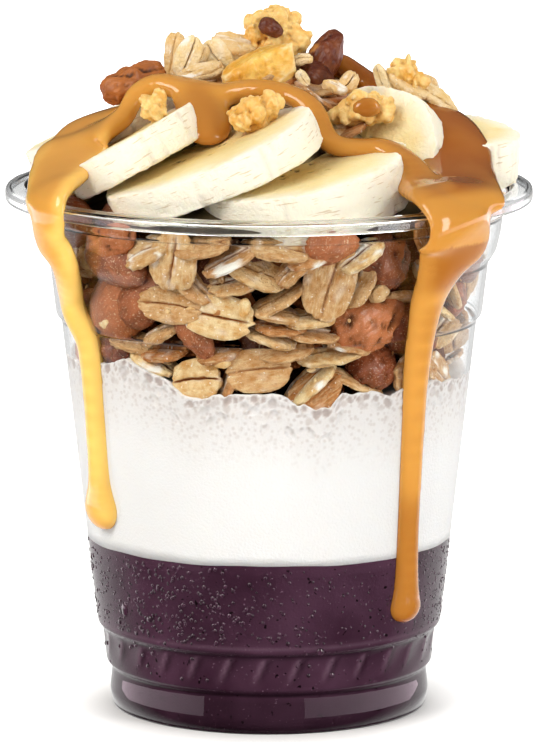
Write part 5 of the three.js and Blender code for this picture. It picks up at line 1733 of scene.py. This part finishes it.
def build_world(settings):
    """White surround seen directly and through the cup; a dimmer one for light and reflections."""
    world = bpy.data.worlds.new("white_surround")
    bpy.context.scene.world = world
    world.use_nodes = True
    tree = world.node_tree
    tree.nodes.clear()
    path = add(tree, "ShaderNodeLightPath").outputs
    through = combine(tree, "MAXIMUM", path["Is Camera Ray"], path["Is Transmission Ray"])
    bounces = combine(tree, "ADD", path["Diffuse Depth"], path["Glossy Depth"])
    direct = combine(tree, "LESS_THAN", bounces, 0.5)
    seen = combine(tree, "MULTIPLY", through, direct)
    white = add(tree, "ShaderNodeBackground", {"Color": linear("#ffffff"), "Strength": 1.05})
    direction = add(tree, "ShaderNodeTexCoord").outputs["Generated"]
    _, depth, rise = add(tree, "ShaderNodeSeparateXYZ", {"Vector": direction}).outputs
    glow = spread(tree, rise, *FILL_RISE, settings.fill)
    dim = spread(tree, rise, *FILL_RISE, settings.mirrored_fill)
    low = spread(tree, rise, *BACKDROP_RISE, settings.backdrop)
    backdrop = spread(tree, depth, *BACKDROP_DEPTH, low)
    carried_on = spread(tree, rise, *INNER_RISE, settings.inner_fill)
    inner = spread(tree, path["Transmission Depth"], 0, 1, carried_on)
    mirrored = combine(tree, "ADD", dim, combine(tree, "MAXIMUM", backdrop, inner))
    level = add(tree, "ShaderNodeMapRange", {
        "Value": path["Glossy Depth"], "To Min": glow, "To Max": mirrored,
    })
    fill = add(tree, "ShaderNodeBackground", {
        "Color": linear("#f8f7f6"), "Strength": level.outputs["Result"],
    })
    mixed = add(tree, "ShaderNodeMixShader", {
        0: seen, 1: fill.outputs["Background"], 2: white.outputs["Background"],
    })
    add(tree, "ShaderNodeOutputWorld", {"Surface": mixed.outputs["Shader"]})


def stage_object(name, points, faces, material):
    mesh = make_mesh(name, points * MM, faces)
    mesh.materials.append(material)
    item = bpy.data.objects.new(name, mesh)
    bpy.context.scene.collection.objects.link(item)
    return item


def build_sweep(settings):
    """Paper under the cup, and white cards round it that only show mirrored."""
    sides = SWEEP_SIDES
    angle = even_turns(sides)
    rings = np.array([round_axis(radius, angle, SWEEP_LEVEL) for radius in SWEEP_RADII])
    paper = skin(rings, (0, 0, SWEEP_LEVEL), (0, 0, SWEEP_UNDERSIDE))
    sweep = stage_object("paper_sweep", *paper, paper_sweep())
    sweep.visible_glossy = False
    strips = []
    for span in CARD_SPANS:
        angle = np.radians(np.linspace(*span, sides) - 90)
        points = np.concatenate([round_axis(CARD_REACH, angle, edge) for edge in CARD_EDGES])
        here = np.arange(sides - 1)
        faces = np.concatenate([
            np.stack([here, here + 1, here + sides + 1], 1),
            np.stack([here, here + sides + 1, here + sides], 1),
        ])
        strips.append((points, faces))
    cards = stage_object("white_cards", *joined(strips), lit_card(settings.card_strength))
    cards.visible_camera = cards.visible_diffuse = False
    cards.visible_transmission = cards.visible_shadow = False


def build_stage(settings):
    build_sweep(settings)
    build_world(settings)
    soft_box("key_box", (-0.55, -0.5, 0.6), 0.5, 0.5, settings.key_power, "#fffaf3")
    soft_box("right_box", (0.7, -0.5, 0.35), 0.25, 0.6, settings.right_power, "#fffcf8")
    soft_box("back_box", (0.15, 0.6, 0.65), 0.7, 0.4, settings.back_power, "#fffdf8", False)
    camera_data = bpy.data.cameras.new("photo_camera")
    camera_data.lens = CAMERA_LENS
    camera_data.clip_end = 20
    camera = bpy.data.objects.new("photo_camera", camera_data)
    camera.location = Vector(CAMERA_AT) * MM
    aim = (Vector(CAMERA_AIM) - Vector(CAMERA_AT)).to_track_quat("-Z", "Y")
    camera.rotation_euler = aim.to_euler()
    scene = bpy.context.scene
    scene.collection.objects.link(camera)
    scene.camera = camera
    scene.view_settings.view_transform = "Standard"


# Settings, operators and panel

def length(name, description, millimetres):
    return bpy.props.FloatProperty(
        name=name, description=description, default=millimetres * MM, unit="LENGTH", precision=5,
    )


def colour(name, description, hex_colour):
    return bpy.props.FloatVectorProperty(
        name=name, description=description, default=linear(hex_colour), subtype="COLOR", size=4,
        min=0, max=1,
    )


def amount(name, description, default):
    return bpy.props.IntProperty(name=name, description=description, default=default, min=0)


def power(name, description, watts):
    return bpy.props.FloatProperty(name=name, description=description, default=watts, unit="POWER")


def strength(name, description, default):
    return bpy.props.FloatProperty(name=name, description=description, default=default, min=0)


class CupSettings(bpy.types.PropertyGroup):
    """The clear tumbler"""

    segments: amount("Segments", "Steps round the wall", 270)
    flute_count: amount("Flutes", "Scallops round the band", 30)
    flute_depth: length("Flute depth", "Depth of each scallop", 0.3)


class BeadSettings(bpy.types.PropertyGroup):
    """Condensation on the wall"""

    count: amount("Beads", "Number of water beads", 1500)
    seed: amount("Seed", "Start of the random draws", 77)


class LayerSettings(bpy.types.PropertyGroup):
    """Acai and cream"""

    acai_colour: colour("Acai", "Colour of the puree", "#3d2232")
    cream_colour: colour("Cream", "Colour of the cream", "#ecebea")
    # Colour of the painted shade in the bubbles' hollows
    bubble_colour: colour("Bubble", "Hollows of the bubbles", "#cbc2bd")
    bubbles: amount("Bubbles", "Larger bubbles tried in the foam", 900)
    seed: amount("Seed", "Start of the random draws", 41)


class GranolaSettings(bpy.types.PropertyGroup):
    """Oats, nuts and crumbs"""

    oat_length: length("Oat length", "Length of a rolled oat", 10.4)
    oat_width: length("Oat width", "Width of a rolled oat", 7.4)
    oat_thickness: length("Oat thickness", "Thickness of a rolled oat", 1.25)
    oat_pale: colour("Pale oat", "Least toasted oat", "#f6dda9")
    oat_toasted: colour("Toasted oat", "Most toasted oat", "#bb7031")
    sliver_pale: colour("Pale sliver", "Least toasted flake on top", "#f8e6bd")
    sliver_toasted: colour("Toasted sliver", "Most toasted flake on top", "#d9a350")
    strewn: amount("Strewn oats", "Oats tried on the heap", 400)
    crumbs: amount("Crumbs", "Crumbs behind the wall", 80)
    seed: amount("Seed", "Start of the random draws", 1963)


class FruitSettings(bpy.types.PropertyGroup):
    """Banana slices"""

    face: colour("Face", "Cut face", "#f8e5ae")
    rim: colour("Rim", "Edge of the cut face", "#fdf6e2")
    side: colour("Side", "Peeled side", "#fcf3de")
    centre: colour("Centre", "Middle of the cut face", "#eecf86")


class CaramelSettings(bpy.types.PropertyGroup):
    """Poured caramel"""

    light_colour: colour("Caramel", "Thin, lit sauce", "#e0a24a")
    deep_colour: colour("Deep caramel", "Thick sauce", "#9a5514")
    voxel: length("Mesh size", "Size of the mesh that joins the streams", 0.57)
    smoothing: amount("Smoothing", "Smoothing passes", 10)


class StageSettings(bpy.types.PropertyGroup):
    """Light round the cup"""

    fill: strength("Fill", "Surround's light from overhead", 0.66)
    mirrored_fill: strength("Mirrored fill", "Surround's light overhead as it shows mirrored", 0.15)
    backdrop: strength("Backdrop", "Backdrop's light as it shows mirrored", 0.9)
    inner_fill: strength("Inner fill", "Surround's light as the clear sheet carries it", 0.8)
    card_strength: strength("Cards", "Light of the cards that the foot mirrors", 3.0)
    key_power: power("Key", "Left box", 4.8)
    right_power: power("Right", "Right box", 3.3)
    back_power: power("Back", "Back box", 4)


class AcaiCupSettings(bpy.types.PropertyGroup):
    """All settings of the acai cup"""

    cup: bpy.props.PointerProperty(type=CupSettings)
    beads: bpy.props.PointerProperty(type=BeadSettings)
    layers: bpy.props.PointerProperty(type=LayerSettings)
    granola: bpy.props.PointerProperty(type=GranolaSettings)
    fruit: bpy.props.PointerProperty(type=FruitSettings)
    caramel: bpy.props.PointerProperty(type=CaramelSettings)
    stage: bpy.props.PointerProperty(type=StageSettings)


class ACAI_OT_stage(bpy.types.Operator):
    """Adds the paper sweep, the light and the camera"""

    bl_idname = "acai.stage"
    bl_label = "Stage"

    def execute(self, context):
        build_stage(context.scene.acai_cup.stage)
        return {"FINISHED"}


class ACAI_OT_cup(bpy.types.Operator):
    """Adds the clear tumbler and its condensation"""

    bl_idname = "acai.cup"
    bl_label = "Cup"

    def execute(self, context):
        settings = context.scene.acai_cup
        build_cup(settings.cup)
        build_beads(settings.beads)
        return {"FINISHED"}


class ACAI_OT_layers(bpy.types.Operator):
    """Adds the acai and the cream"""

    bl_idname = "acai.layers"
    bl_label = "Acai and cream"

    def execute(self, context):
        settings = context.scene.acai_cup
        build_acai(settings.layers, settings.cup)
        build_cream(settings.layers)
        return {"FINISHED"}


class ACAI_OT_granola(bpy.types.Operator):
    """Adds the oats, nuts and crumbs over their bed"""

    bl_idname = "acai.granola"
    bl_label = "Granola"

    def execute(self, context):
        settings = context.scene.acai_cup.granola
        granola = Granola(settings)
        for row in FRONT_PIECES:
            granola.press(*row)
        for layer in range(len(LAYER_GAPS)):
            granola.fill(layer, [row[1:3] for row in FRONT_PIECES] if layer == 0 else [])
        granola.strew(settings.strewn)
        granola.crumble(settings.crumbs)
        granola.link()
        build_bed()
        return {"FINISHED"}


class ACAI_OT_fruit(bpy.types.Operator):
    """Adds the banana slices"""

    bl_idname = "acai.fruit"
    bl_label = "Banana"

    def execute(self, context):
        fruit = context.scene.acai_cup.fruit
        finish = banana_flesh(fruit.face, fruit.rim, fruit.side, fruit.centre)
        for seed, (name, row) in enumerate(SLICES.items(), SLICE_SEED):
            build_slice(name, row, finish, seed)
        return {"FINISHED"}


class ACAI_OT_toppings(bpy.types.Operator):
    """Adds the granola pieces on top"""

    bl_idname = "acai.toppings"
    bl_label = "Toppings"

    def execute(self, context):
        build_toppings(context.scene.acai_cup.granola)
        return {"FINISHED"}


class ACAI_OT_caramel(bpy.types.Operator):
    """Adds the poured caramel with its drips"""

    bl_idname = "acai.caramel"
    bl_label = "Caramel"

    def execute(self, context):
        build_caramel(context.scene.acai_cup.caramel)
        return {"FINISHED"}


OPERATORS = (
    ACAI_OT_stage, ACAI_OT_cup, ACAI_OT_layers, ACAI_OT_granola, ACAI_OT_fruit, ACAI_OT_toppings,
    ACAI_OT_caramel,
)


class ACAI_PT_panel(bpy.types.Panel):
    """Lists the steps that build the acai cup"""

    bl_label = "Acai Cup"
    bl_space_type = "VIEW_3D"
    bl_region_type = "UI"
    bl_category = "Acai Cup"

    def draw(self, context):
        for operator in OPERATORS:
            self.layout.operator(operator.bl_idname)


CLASSES = (
    CupSettings, BeadSettings, LayerSettings, GranolaSettings, FruitSettings, CaramelSettings,
    StageSettings, AcaiCupSettings, *OPERATORS, ACAI_PT_panel,
)


def register():
    for cls in CLASSES:
        bpy.utils.register_class(cls)
    bpy.types.Scene.acai_cup = bpy.props.PointerProperty(type=AcaiCupSettings)


def unregister():
    del bpy.types.Scene.acai_cup
    for cls in reversed(CLASSES):
        bpy.utils.unregister_class(cls)


def main():
    register()
    bpy.ops.acai.stage()
    bpy.ops.acai.cup()
    bpy.ops.acai.layers()
    bpy.ops.acai.granola()
    bpy.ops.acai.fruit()
    bpy.ops.acai.toppings()
    bpy.ops.acai.caramel()


if __name__ == "__main__":
    main()
